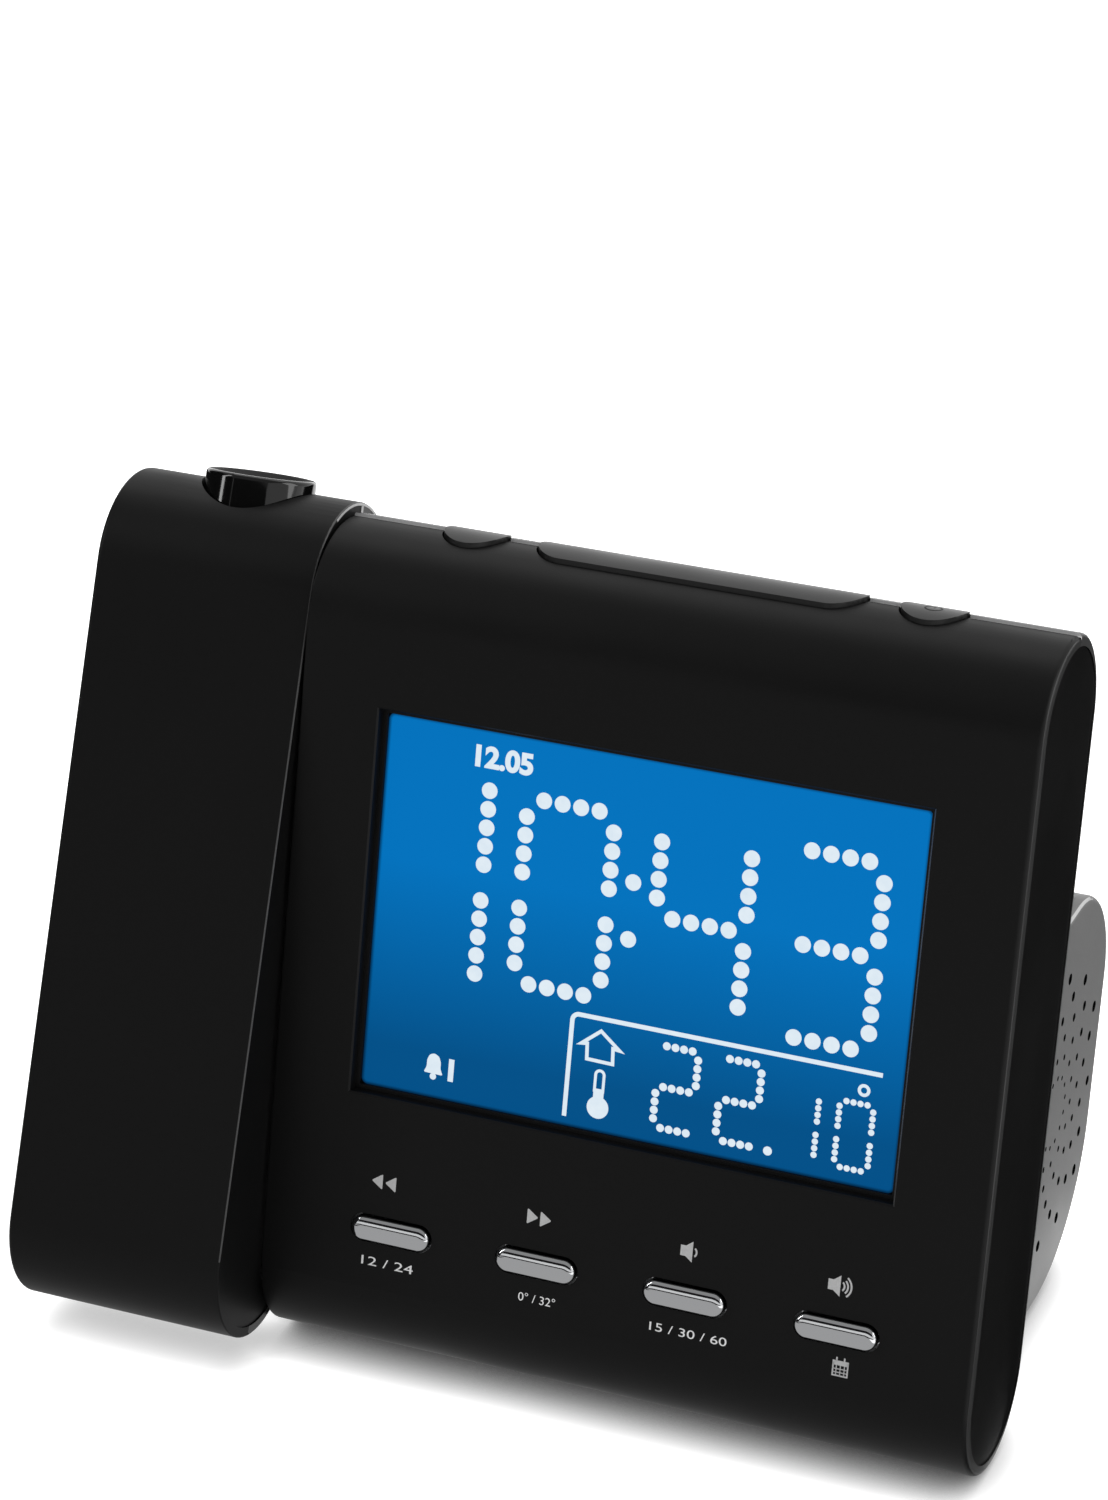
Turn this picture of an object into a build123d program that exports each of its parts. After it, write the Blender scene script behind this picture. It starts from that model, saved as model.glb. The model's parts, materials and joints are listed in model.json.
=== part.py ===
from build123d import *
import os
from math import cos, radians, sin

# Projection alarm clock. A flat case with rounded top and bottom leans back on a drum-shaped
# speaker housing. A projector arm of the same section swivels on the left end of the case.
#
# Pieces are drawn in the case's own upright frame: X to the viewer's right, -Y out of the front
# face, Z up the case, with the origin at the centre of the bottom round. stand() then leans the
# case back. All sizes are in millimetres.

os.makedirs("parts", exist_ok=True)

# ---------------------------------------------------------------- driving dimensions

# case and arm section
arm_width = 41.6
side_margin = 16.7          # from the lit area's width to each end of the case
swivel_gap = 0.5            # between the case's end face and the arm's
slab_radius = 15.9          # half the thickness, and the radius of the top and bottom rounds
display_head_room = 14.1    # from the display's lit area up to the centre of the top round
arm_extra_height = 2.0      # how much taller the arm is than the case
lean_angle = 12.5
swing_angle = 9.0           # how far the arm is swung forward at rest
floor_gap = 0.8             # under the case's bottom round

# shells
wall = 2.2
parting_y = 1.0             # plane where the front and rear shells meet
groove_width = 0.5          # shadow gap along the parting line
groove_depth = 0.5
tongue_height = 1.4
tongue_thickness = 0.9
rim_width = 3.0             # width of the lip that holds the bearing cap in
rim_depth = 1.6             # how far the lip, or an end cap's seat, is from the shell's end
face_rim = 1.8              # wall round the face of a plain end cap
face_shift = 0.5            # of that face towards the rear
face_recess = 0.25          # of that face below the shell's end
end_round = 1.0             # on the outer ends of the case and the arm
seam_round = 0.3            # on the ends that meet at the swivel
cap_thickness = 1.6
bearing_cap_thickness = 3.0
seat_clearance = 0.05       # between pieces that drop into one another

# screws and their bosses
boss_radius = 2.5
pilot_radius = 0.9
screw_radius = 1.1          # clearance hole in the rear boss
screw_head_radius = 2.1
screw_head_height = 1.4
head_clearance = 0.2
recess_depth = 0.8          # cross recess in a screw's head
recess_reach = 1.3
recess_width = 0.5
screw_grip = 7.0            # length of screw in the front boss
head_sink = 1.6             # depth of a screw well below the rear face
lower_boss_height = 15.0
boss_clip_gap = 6.4         # from the upper bosses up to the swivel's clip

# display
display_lift = 25.2         # from the front keys' centres up to the lit area
view_width = 98.5
view_height = 67.2
display_shift = -1.2        # of the display from the middle of the case
window_margin = 0.9         # between the lit area and the edge of the opening
window_chamfer = 0.3
bezel_thickness = 0.7
panel_border = 3.5          # glass hidden behind the bezel on each side
panel_thickness = 2.2
backlight_thickness = 3.0
board_thickness = 1.6
main_board_margin = 8.0
standoff_radius = 2.6
standoff_spread = 45.0

# front keys
key_height_up = 9.7
key_width = 14.8
key_height = 4.4
key_row_inset = 0.45        # of the outer keys' ends from the lit area's width
key_proud = 1.2
key_edge = 0.9
key_clearance = 0.4
key_flange = 1.3
key_flange_thickness = 1.0
key_stem_radius = 1.6
key_travel = 0.5
stem_spare = 0.15           # left between a stem and its switch at full travel
switch_size = 6.0
switch_height = 3.1
plunger_radius = 1.6
plunger_height = 0.9
key_board_height = 13.0
key_board_margin = 7.0
key_stem_length = 1.2

# top buttons
top_half_depth = 6.4        # front to back
round_half_width = 5.7
band_offset = -42.5         # centres measured from the middle of the case
power_offset = 40.5
snooze_offset = -1.0
snooze_half_width = 29.6
top_proud = 0.5
top_clearance = 0.35
top_flange = 1.0
top_flange_thickness = 1.1
top_travel = 0.7
top_board_lift = 1.0        # above the centre of the top round
top_board_depth = 17.0
shelf_height = 7.0          # of the shelves under the top key board

# swivel
pivot_drop = 10.7           # swivel's centre below the centre of the top round
shaft_radius = 8.0
shaft_bore = 5.0
running_clearance = 0.06
hub_flange_radius = 12.0
hub_flange_thickness = 1.8
clip_radius = 10.6
clip_thickness = 1.2
clip_groove = 0.9
clip_mouth = 4.0            # open side of the clip
washer_thickness = 0.6
shaft_tail = 1.2
lug_reach = 2.4
lug_width_angle = 24.0
lug_thickness = 1.3
lug_clearance = 0.3
swivel_travel = 180.0
stop_spare_angle = 1.0

# projector and focus ring
turret_from_seam = 19.3     # lens axis from the arm's inner end
ring_radius = 9.8
ring_proud = 2.0            # above the arm's top
ring_clearance = 0.55
ring_flange_radius = 11.3
ring_flange_thickness = 1.8
ring_mouth_radius = 8.4
ring_mouth_depth = 2.4
ring_chamfer = 0.7
deck_drop = 11.4            # from the arm's top down to the deck the ring turns on
deck_thickness = 2.2
deck_width = 30.0
deck_margin = 1.2           # deck outside the ring's flange
bracket_height = 8.0
barrel_radius = 6.2
barrel_bore = 4.9
barrel_length = 14.0
barrel_spare = 0.3          # under the ring's mouth when the barrel is all the way up
lens_travel = 2.0
lens_thickness = 3.2
lens_sag = 1.0
lens_set_back = 0.6         # below the barrel's end
tube_wall = 1.8
tube_length = 34.0
condenser_lift = 8.0
film_lift = 13.0
film_thickness = 1.1
led_radius = 2.5
led_height = 5.5
led_board_thickness = 1.6

# battery compartment in the rear shell
cell_radius = 5.25
cell_length = 44.5
cell_gap = 0.6
cell_spare = 2.2            # room for a contact at each end of a cell
tray_wall = 1.4
tray_height_up = 89.0
door_thickness = 1.8
door_overlap = 2.6
door_clearance = 0.3
contact_thickness = 0.4
contact_half_width = 4.0
bump_radius = 1.5
cell_nub_radius = 1.9
cell_nub_length = 1.0
door_pin_radius = 0.5
door_pin_length = 1.8       # into the shell at each side
door_grips = 5
door_grip_pitch = 1.6
door_grip_radius = 0.4
door_grip_length = 16.0

# speaker housing, in the upright world frame
housing_inset_right = 8.4   # from the case's right end to the grille
housing_inset_left = 11.4   # from the case's left end to the housing
housing_top = 74.5
housing_reach = 87.3        # rearmost point behind the case's bottom centre
housing_bottom = 1.5
housing_shoulder_radius = 19.0
housing_heel_radius = 30.0
housing_toe = 25.0           # where the flat underside starts
housing_nose_height = 24.0   # where the sloping toe goes into the case
housing_front = 4.0          # inside the case, so that the case trims the housing
housing_wall = 2.4
housing_edge = 1.4
grille_thickness = 2.2
speaker_back_margin = 30.3  # from the housing's rearmost point to the speaker's centre
speaker_lift = 36.5         # from the housing's underside up to the speaker's centre
speaker_radius = 23.0
speaker_rim_thickness = 2.0
speaker_rim_width = 2.0
speaker_basket_depth = 13.0
basket_thickness = 1.2
cone_rest = 1.6             # from the cone's middle to the magnet
cone_throat_rest = 3.0      # from the cone's throat to the magnet
cone_throat_radius = 8.0
cone_thickness = 0.8
cone_set_back = 1.0         # of the cone's rim behind the grille
magnet_radius = 15.0
magnet_thickness = 9.0
grille_rays = 14
grille_rings = 6
grille_first_radius = 6.6
grille_ring_step = 3.7
grille_small_hole = 0.45
grille_hole_growth = 0.12
grille_twist = 10.0
foot_radius = 6.0
foot_spread = 44.0
foot_centre_y = 37.0
toe_length = 14.0
toe_depth = 8.0
housing_window_width = 60.0
housing_window_height = 18.0

# power inlet and aerial
jack_width = 9.0
jack_height = 11.0
jack_length = 13.0
jack_bore = 2.9
jack_collar = 0.6           # wall of the socket's collar in the housing
jack_bore_depth = 9.0
jack_pin = 1.0
jack_centre_y = 38.0
jack_centre_z = 24.0
aerial_radius = 4.0
aerial_length = 50.0
aerial_drop = 25.0          # below the middle of the battery tray
aerial_clip_width = 4.0

# ---------------------------------------------------------------- derived places

display_centre_height = key_height_up + display_lift + view_height / 2
slab_span = display_centre_height + view_height / 2 + display_head_room  # between the two rounds' centres
pivot_height = slab_span - pivot_drop
upper_boss_height = pivot_height - clip_radius - boss_clip_gap - boss_radius
aerial_height_up = tray_height_up - aerial_drop
case_width = view_width + 2 * side_margin
overall_width = arm_width + swivel_gap + case_width
arm_left = -overall_width / 2
case_left = arm_left + arm_width + swivel_gap
case_right = case_left + case_width
case_middle = (case_left + case_right) / 2
arm_right = arm_left + arm_width
display_middle = case_middle + display_shift
inner_radius = slab_radius - wall
face_radius = slab_radius - face_rim
inner_face_y = -inner_radius            # inside of the front wall
back_face_y = slab_radius
screw_seat_y = back_face_y - head_sink - screw_head_height
turret_x = arm_right - turret_from_seam
arm_top_centre = slab_span + arm_extra_height
slab_base = slab_radius + floor_gap

clear_of_tongue_y = parting_y + tongue_height + 1.0

bezel_back_y = inner_face_y + bezel_thickness
panel_back_y = bezel_back_y + panel_thickness
backlight_back_y = panel_back_y + backlight_thickness
main_board_back_y = backlight_back_y + board_thickness
window_width = view_width + 2 * window_margin
window_height = view_height + 2 * window_margin
panel_width = view_width + 2 * panel_border
panel_height = view_height + 2 * panel_border
main_board_height = panel_height + 2 * main_board_margin

key_flange_back_y = inner_face_y + seat_clearance + key_flange_thickness
key_stem_end_y = key_flange_back_y + key_stem_length
key_switch_y = key_stem_end_y + key_travel + stem_spare
key_board_y = key_switch_y + plunger_height + switch_height
key_pitch = (view_width - 2 * key_row_inset - key_width) / 3
key_places = [case_middle + key_pitch * step for step in (-1.5, -0.5, 0.5, 1.5)]

top_board_z = slab_span + top_board_lift
top_switch_z = top_board_z + board_thickness + switch_height + plunger_height
top_stem_end_z = top_switch_z + top_travel + stem_spare
top_buttons = {
    "band_button": (case_middle + band_offset, 0.0),
    "snooze_bar": (case_middle + snooze_offset, snooze_half_width - round_half_width),
    "power_button": (case_middle + power_offset, 0.0),
}

boss_places = [
    (x, z)
    for x in (
        case_left + rim_depth + bearing_cap_thickness + boss_radius + seat_clearance,
        case_right - rim_depth - cap_thickness - boss_radius - seat_clearance,
    )
    for z in (lower_boss_height, upper_boss_height)
]


# ---------------------------------------------------------------- small helpers


def block(x0, x1, y0, y1, z0, z1):
    """Box between two corners."""
    middle = Pos((x0 + x1) / 2, (y0 + y1) / 2, (z0 + z1) / 2)
    return middle * Box(x1 - x0, y1 - y0, z1 - z0)


def rod(radius, length, start, direction):
    """Round bar that runs from a point along a direction."""
    return extrude(Plane(origin=start, z_dir=direction) * Circle(radius), amount=length)


def cross_rod(radius, x0, x1, y, z):
    """Round bar along X between two X places."""
    return rod(radius, x1 - x0, (x0, y, z), (1, 0, 0))


def slab(radius, span, x0, x1):
    """Solid of the case's section, two rounds joined by flats, between two X places."""
    end = Plane(origin=(x0, 0, 0), x_dir=(0, 1, 0), z_dir=(1, 0, 0))
    outline = end * Pos(0, span / 2) * SlotCenterToCenter(span, 2 * radius, rotation=90)
    return extrude(outline, amount=x1 - x0)


def pill(width, height, x, z, y0, y1):
    """Bar of pill section that runs along Y."""
    face = Plane(origin=(x, y0, z), x_dir=(1, 0, 0), z_dir=(0, 1, 0))
    return extrude(face * SlotOverall(width, height), amount=y1 - y0)


def oval_prism(x, half_straight, margin, z0, z1):
    """Upright prism of a top button's plan, grown by a margin."""
    end = Ellipse(round_half_width + margin, top_half_depth + margin)
    plan = end
    if half_straight > 0:
        straight = Rectangle(2 * half_straight, 2 * (top_half_depth + margin))
        plan = Pos(-half_straight, 0) * end + straight + Pos(half_straight, 0) * end
    return extrude(Pos(x, parting_y, z0) * plan, amount=z1 - z0)


def stand(piece):
    """Takes a piece from the case's upright frame to the standing clock."""
    return Pos(0, 0, slab_base) * Rot(-lean_angle, 0, 0) * piece


def swing(piece):
    """Takes a piece from the arm's upright frame to the swung arm on the standing clock."""
    return stand(Pos(0, 0, pivot_height) * Rot(-swing_angle, 0, 0) * Pos(0, 0, -pivot_height) * piece)


# ---------------------------------------------------------------- shells


def cap_face(x0, x1, span, margin):
    """Solid of a plain end cap's face between two X places, drawn inwards by a margin."""
    return Pos(0, face_shift, 0) * slab(face_radius - margin, span, x0, x1)


def shell_pair(x0, x1, span, left_round, right_round, left_lip):
    """Front and rear shells of one case. Its left end has a lip, or a seat for a cap as on the right."""
    outer = slab(slab_radius, span, x0, x1)
    outer = fillet(outer.faces().sort_by(Axis.X)[0].edges(), left_round)
    outer = fillet(outer.faces().sort_by(Axis.X)[-1].edges(), right_round)
    cavity = slab(inner_radius, span, x0 + rim_depth, x1 - rim_depth)
    left_mouth = cap_face(x0 - 1, x0 + rim_depth, span, 0)
    if left_lip:
        left_mouth = slab(slab_radius - rim_width, span, x0 - 1, x0 + rim_depth + 1)
    case = outer - cavity - left_mouth - cap_face(x1 - rim_depth, x1 + 1, span, 0)
    reach = span + 2 * slab_radius
    front_half = block(x0 - 1, x1 + 1, -2 * slab_radius, parting_y, -reach, 2 * reach)
    rear_half = block(x0 - 1, x1 + 1, parting_y, 2 * slab_radius, -reach, 2 * reach)
    half_groove = groove_width / 2
    band = block(x0 - 1, x1 + 1, parting_y - half_groove, parting_y + half_groove, -reach, 2 * reach)
    skin = slab(slab_radius + 1, span, x0 - 1, x1 + 1)
    groove = (skin - slab(slab_radius - groove_depth, span, x0 - 2, x1 + 2)) & band
    tongue_x0 = x0 + rim_depth + bearing_cap_thickness
    tongue_x1 = x1 - rim_depth - bearing_cap_thickness
    ring = slab(inner_radius + tongue_thickness, span, tongue_x0, tongue_x1)
    ring = ring - slab(inner_radius, span, tongue_x0 - 1, tongue_x1 + 1)
    tongue_band = block(x0, x1, parting_y, parting_y + tongue_height, -reach, 2 * reach)
    slot_radius = inner_radius + tongue_thickness + seat_clearance
    slot_ring = slab(slot_radius, span, tongue_x0 - seat_clearance, tongue_x1 + seat_clearance)
    slot_band = block(x0, x1, parting_y - 1, parting_y + tongue_height + seat_clearance, -reach, 2 * reach)
    front = (case & front_half) - groove + (ring & tongue_band)
    rear = (case & rear_half) - groove - (slot_ring & slot_band)
    return front, rear


def inner_plate(x0, x1, span):
    """Plate that closes an end inside the shells."""
    return slab(inner_radius - seat_clearance, span, x0, x1)


def plain_cap(end, side, span):
    """Cap pressed in from outside: a face just below the shell's end and a plate inside the shells."""
    face_x = end - side * face_recess
    seat_x = end - side * rim_depth
    back_x = seat_x - side * cap_thickness
    face = cap_face(min(face_x, seat_x), max(face_x, seat_x), span, seat_clearance)
    return face + inner_plate(min(back_x, seat_x), max(back_x, seat_x), span)


def screw_post(x, z):
    """Front boss from the front wall to the parting plane, with its pilot hole."""
    post = rod(boss_radius, parting_y - inner_face_y, (x, inner_face_y, z), (0, 1, 0))
    return post - rod(pilot_radius, screw_grip + 1, (x, parting_y - screw_grip - 1, z), (0, 1, 0))


def screw_well(x, z):
    """Rear boss from the parting plane to the back wall."""
    return rod(boss_radius, inner_radius - parting_y, (x, parting_y, z), (0, 1, 0))


def screw_well_cut(x, z):
    """Clearance hole and head recess of one rear boss."""
    shank = rod(screw_radius, 2 * slab_radius, (x, parting_y - 1, z), (0, 1, 0))
    head = rod(screw_head_radius + head_clearance, slab_radius, (x, screw_seat_y, z), (0, 1, 0))
    return shank + head


def case_screw(x, z):
    """Pan-head screw with a cross recess, seated in its well."""
    shank_length = screw_seat_y - parting_y + screw_grip
    shank = rod(pilot_radius, shank_length, (x, parting_y - screw_grip, z), (0, 1, 0))
    head = rod(screw_head_radius, screw_head_height, (x, screw_seat_y, z), (0, 1, 0))
    low = screw_seat_y + screw_head_height - recess_depth
    half = recess_width / 2
    cross = block(x - recess_reach, x + recess_reach, low, back_face_y, z - half, z + half)
    cross = cross + block(x - half, x + half, low, back_face_y, z - recess_reach, z + recess_reach)
    return shank + head - cross


nodes = {}

front, rear = shell_pair(case_left, case_right, slab_span, seam_round, end_round, True)

# display opening with a bevelled edge
window_x0 = display_middle - window_width / 2
window_x1 = display_middle + window_width / 2
window_z0 = display_centre_height - window_height / 2
window_z1 = display_centre_height + window_height / 2
front = front - block(window_x0, window_x1, -2 * slab_radius, 0, window_z0, window_z1)
display_centre = (display_middle, -slab_radius, display_centre_height)
bevel_face = Plane(origin=display_centre, x_dir=(1, 0, 0), z_dir=(0, 1, 0))
bevel = extrude(
    bevel_face * Rectangle(window_width + 2 * window_chamfer, window_height + 2 * window_chamfer),
    amount=window_chamfer,
    taper=45,
)
front = front - bevel

# key holes through the front wall
for x in key_places:
    front = front - pill(
        key_width + 2 * key_clearance,
        key_height + 2 * key_clearance,
        x,
        key_height_up,
        -2 * slab_radius,
        inner_face_y + 1,
    )

# top button holes through both shells
for x, half_straight in top_buttons.values():
    hole_low = slab_span + slab_radius / 2
    hole = oval_prism(x, half_straight, top_clearance, hole_low, slab_span + 2 * slab_radius)
    front = front - hole
    rear = rear - hole

# bosses for the case screws
for x, z in boss_places:
    front = front + screw_post(x, z)
    rear = rear + screw_well(x, z) - screw_well_cut(x, z)

# standoffs that carry the main board above and below the display
standoff_z = panel_height / 2 + main_board_margin / 2
for side in (-1, 1):
    for level in (-1, 1):
        x = display_middle + side * standoff_spread
        z = display_centre_height + level * standoff_z
        front = front + rod(standoff_radius, backlight_back_y - inner_face_y, (x, inner_face_y, z), (0, 1, 0))

# pillars that carry the front key board between the keys
pillar_length = key_board_y - inner_face_y
for step in (-1, 0, 1):
    pillar_foot = (case_middle + step * key_pitch, inner_face_y, key_height_up)
    front = front + rod(standoff_radius, pillar_length, pillar_foot, (0, 1, 0))

# shelves in the rear shell under the top key board
shelf_x = [
    case_middle + band_offset - round_half_width - wall,
    case_middle + power_offset + round_half_width + 1,
]
for x in shelf_x:
    rear = rear + block(x, x + wall, clear_of_tongue_y, inner_radius, top_board_z - shelf_height, top_board_z)

# battery opening, its recess for the door and the window towards the speaker housing
tray_inner_width = cell_length + 2 * cell_spare
tray_inner_height = 4 * cell_radius + 3 * cell_gap
door_width = tray_inner_width + 2 * door_overlap
door_height = tray_inner_height + 2 * door_overlap
tray_x0 = case_middle - tray_inner_width / 2
tray_x1 = case_middle + tray_inner_width / 2
tray_z0 = tray_height_up - tray_inner_height / 2
tray_z1 = tray_height_up + tray_inner_height / 2
rear = rear - block(tray_x0, tray_x1, inner_radius - 1, back_face_y + 1, tray_z0, tray_z1)
rear = rear - block(
    case_middle - door_width / 2 - door_clearance,
    case_middle + door_width / 2 + door_clearance,
    back_face_y - door_thickness,
    back_face_y + 1,
    tray_height_up - door_height / 2 - door_clearance,
    tray_height_up + door_height / 2 + door_clearance,
)
rear = rear - block(
    case_middle - housing_window_width / 2,
    case_middle + housing_window_width / 2,
    inner_radius - 1,
    back_face_y + 1,
    2 * boss_radius,
    2 * boss_radius + housing_window_height,
)

# bores for the battery door's hinge pins
door_half = (door_thickness - seat_clearance) / 2
door_hinge_y = back_face_y - door_half
door_z0 = tray_height_up - door_height / 2
door_hinge_z = door_z0 + door_half
pin_x0 = case_middle - door_width / 2 - door_clearance - door_pin_length
pin_x1 = case_middle + door_width / 2 + door_clearance + door_pin_length
pin_bore = door_pin_radius + running_clearance
pin_margin = pin_x0 - door_clearance, pin_x1 + door_clearance
rear = rear - cross_rod(pin_bore, *pin_margin, door_hinge_y, door_hinge_z)

# saddles that hold the ferrite rod against the back wall
aerial_y = inner_radius - aerial_radius - wall
for side in (-1, 1):
    x = case_middle + side * (aerial_length / 2 - aerial_clip_width)
    saddle = block(
        x - aerial_clip_width / 2,
        x + aerial_clip_width / 2,
        aerial_y,
        inner_radius,
        aerial_height_up - aerial_radius - wall,
        aerial_height_up + aerial_radius + wall,
    )
    reach = aerial_clip_width
    cradle = cross_rod(aerial_radius + seat_clearance, x - reach, x + reach, aerial_y, aerial_height_up)
    rear = rear + (saddle - cradle)

nodes["front_shell"] = stand(front)
nodes["rear_shell"] = stand(rear)

# ---------------------------------------------------------------- end caps of the case

nodes["right_end_cap"] = stand(plain_cap(case_right, 1, slab_span))

left_cap_x0 = case_left + rim_depth
left_cap_x1 = left_cap_x0 + bearing_cap_thickness
left_cap = inner_plate(left_cap_x0, left_cap_x1, slab_span)
bearing_radius = shaft_radius + running_clearance
left_cap = left_cap - cross_rod(bearing_radius, left_cap_x0 - 1, left_cap_x1 + 1, 0, pivot_height)

# The stop pocket is an arc round the bore. The hub's lug turns in it and meets its ends.
pocket_angle = swivel_travel + lug_width_angle + 2 * stop_spare_angle


def stop_sector(radius, start_angle, sweep, x0, x1):
    """Ring sector about the swivel, with angles from straight down towards the front."""
    face = Plane(origin=(x0, 0, pivot_height), x_dir=(0, 0, -1), z_dir=(1, 0, 0))
    steps = 12
    points = [(0, 0)]
    for step in range(steps + 1):
        angle = radians(start_angle + sweep * step / steps)
        points.append((2 * radius * cos(angle), -2 * radius * sin(angle)))
    wedge = extrude(face * make_face(Polyline(*points, close=True)), amount=x1 - x0)
    return wedge & cross_rod(radius, x0, x1, 0, pivot_height)


pocket_radius = shaft_radius + lug_reach + lug_clearance
pocket = stop_sector(
    pocket_radius,
    -lug_width_angle / 2 - stop_spare_angle,
    pocket_angle,
    left_cap_x0 - 1,
    left_cap_x0 + lug_thickness + lug_clearance,
)
left_cap = left_cap - pocket
nodes["left_end_cap"] = stand(left_cap)

# ---------------------------------------------------------------- display stack

display_stack = {
    "lcd_bezel": (inner_face_y, bezel_back_y, panel_width, panel_height),
    "lcd_panel": (bezel_back_y, panel_back_y, panel_width, panel_height),
    "lcd_backlight": (panel_back_y, backlight_back_y, panel_width, panel_height),
    "main_board": (backlight_back_y, main_board_back_y, panel_width, main_board_height),
}
for name, (y0, y1, width, height) in display_stack.items():
    plate = block(
        display_middle - width / 2,
        display_middle + width / 2,
        y0,
        y1,
        display_centre_height - height / 2,
        display_centre_height + height / 2,
    )
    if name == "lcd_bezel":
        plate = plate - block(
            display_middle - view_width / 2,
            display_middle + view_width / 2,
            y0 - 1,
            y1 + 1,
            display_centre_height - view_height / 2,
            display_centre_height + view_height / 2,
        )
    nodes[name] = stand(plate)

# ---------------------------------------------------------------- front keys and their board


def tact_switch(place, direction):
    """Square tact switch with a round plunger, standing on a board."""
    face = Plane(origin=place, z_dir=direction)
    body = extrude(face * Rectangle(switch_size, switch_size), amount=switch_height)
    return body + rod(plunger_radius, switch_height + plunger_height, place, direction)


key_names = ["key_rewind", "key_forward", "key_volume_down", "key_volume_up"]
key_switches = []
for name, x in zip(key_names, key_places):
    crown_y = -slab_radius - key_proud
    cap = pill(key_width, key_height, x, key_height_up, crown_y, inner_face_y + 2 * seat_clearance)
    crown = cap.faces().sort_by(Axis.Y)[0]
    cap = fillet(crown.edges(), key_edge)
    flange = pill(
        key_width + 2 * key_flange,
        key_height + 2 * key_flange,
        x,
        key_height_up,
        inner_face_y + seat_clearance,
        key_flange_back_y,
    )
    stem_y = key_flange_back_y - key_flange_thickness / 2
    stem = rod(key_stem_radius, key_stem_end_y - stem_y, (x, stem_y, key_height_up), (0, 1, 0))
    nodes[name] = stand(cap + flange + stem)
    key_switches.append(tact_switch((x, key_board_y, key_height_up), (0, -1, 0)))

nodes["front_key_switches"] = stand(Compound(key_switches))
nodes["front_key_board"] = stand(
    block(
        key_places[0] - key_board_margin,
        key_places[-1] + key_board_margin,
        key_board_y,
        key_board_y + board_thickness,
        key_height_up - key_board_height / 2,
        key_height_up + key_board_height / 2,
    )
)

# ---------------------------------------------------------------- top buttons and their board


def round_bar(radius):
    """Round bar about the axis of the top round, as long as the case."""
    return cross_rod(radius, case_left, case_right, 0, slab_span)


top_switches = []
for name, (x, half_straight) in top_buttons.items():
    low = slab_span + top_flange_thickness
    high = slab_span + 2 * slab_radius
    cap = oval_prism(x, half_straight, 0, low, high) & round_bar(slab_radius + top_proud)
    cap = cap - round_bar(inner_radius - top_flange_thickness)
    flange = oval_prism(x, half_straight, top_flange, low, high)
    flange = flange & round_bar(inner_radius - 2 * seat_clearance)
    flange = flange - round_bar(inner_radius - top_flange_thickness)
    stem_top = slab_span + inner_radius - top_flange_thickness / 2
    stem = rod(plunger_radius, stem_top - top_stem_end_z, (x, parting_y, top_stem_end_z), (0, 0, 1))
    nodes[name] = stand(cap + flange + stem)
    top_switches.append(tact_switch((x, parting_y, top_board_z + board_thickness), (0, 0, 1)))

nodes["top_key_switches"] = stand(Compound(top_switches))
nodes["top_key_board"] = stand(
    block(
        shelf_x[0],
        shelf_x[1] + wall,
        parting_y - top_board_depth / 2,
        parting_y + top_board_depth / 2,
        top_board_z,
        top_board_z + board_thickness,
    )
)

# ---------------------------------------------------------------- battery compartment

tray_depth = 2 * cell_radius + 1.0
tray_back_y = back_face_y - door_thickness
tray_front_y = tray_back_y - tray_depth - tray_wall
tray = block(
    tray_x0 - tray_wall,
    tray_x1 + tray_wall,
    tray_front_y,
    inner_radius,
    tray_z0 - tray_wall,
    tray_z1 + tray_wall,
)
tray = tray - block(tray_x0, tray_x1, tray_front_y + tray_wall, back_face_y, tray_z0, tray_z1)
nodes["battery_tray"] = stand(tray)

cell_y = tray_front_y + tray_wall + cell_radius + seat_clearance
cells = []
contacts = []
for side in (-1, 1):
    z = tray_height_up + side * (cell_radius + cell_gap / 2)
    start = case_middle - cell_length / 2
    cell = cross_rod(cell_radius, start, start + cell_length - cell_nub_length, cell_y, z)
    cells.append(cell + cross_rod(cell_nub_radius, start, start + cell_length, cell_y, z))
    for end, face in ((tray_x0, -1), (tray_x1, 1)):
        inner = end - face * contact_thickness
        leaf = block(
            min(end, inner),
            max(end, inner),
            cell_y - contact_half_width,
            cell_y + contact_half_width,
            z - contact_half_width,
            z + contact_half_width,
        )
        bump = rod(bump_radius, cell_spare - contact_thickness, (inner, cell_y, z), (-face, 0, 0))
        contacts.append(leaf + bump)
nodes["battery_cells"] = stand(Compound(cells))
nodes["battery_contacts"] = stand(Compound(contacts))

door_x0 = case_middle - door_width / 2
door_x1 = case_middle + door_width / 2
door = block(door_x0, door_x1, back_face_y - 2 * door_half, back_face_y, door_hinge_z, door_z0 + door_height)
door = door + cross_rod(door_half, door_x0, door_x1, door_hinge_y, door_hinge_z)
door = door + cross_rod(door_pin_radius, pin_x0, pin_x1, door_hinge_y, door_hinge_z)
for step in range(door_grips):
    z = door_z0 + door_height - door_grip_pitch * (step + 2)
    half = door_grip_length / 2
    door = door - cross_rod(door_grip_radius, case_middle - half, case_middle + half, back_face_y, z)
nodes["battery_door"] = stand(door)

# ---------------------------------------------------------------- aerial and case screws

aerial_x0 = case_middle - aerial_length / 2
aerial = cross_rod(aerial_radius, aerial_x0, aerial_x0 + aerial_length, aerial_y, aerial_height_up)
nodes["ferrite_rod"] = stand(aerial)
nodes["case_screws"] = stand(Compound([case_screw(x, z) for x, z in boss_places]))

# ---------------------------------------------------------------- speaker housing

speaker_centre_y = housing_reach - speaker_back_margin
speaker_centre_z = housing_bottom + speaker_lift
housing_x0 = case_left + housing_inset_left
jack_x0 = housing_x0 + housing_wall
housing_x1 = case_right - housing_inset_right - grille_thickness


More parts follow.
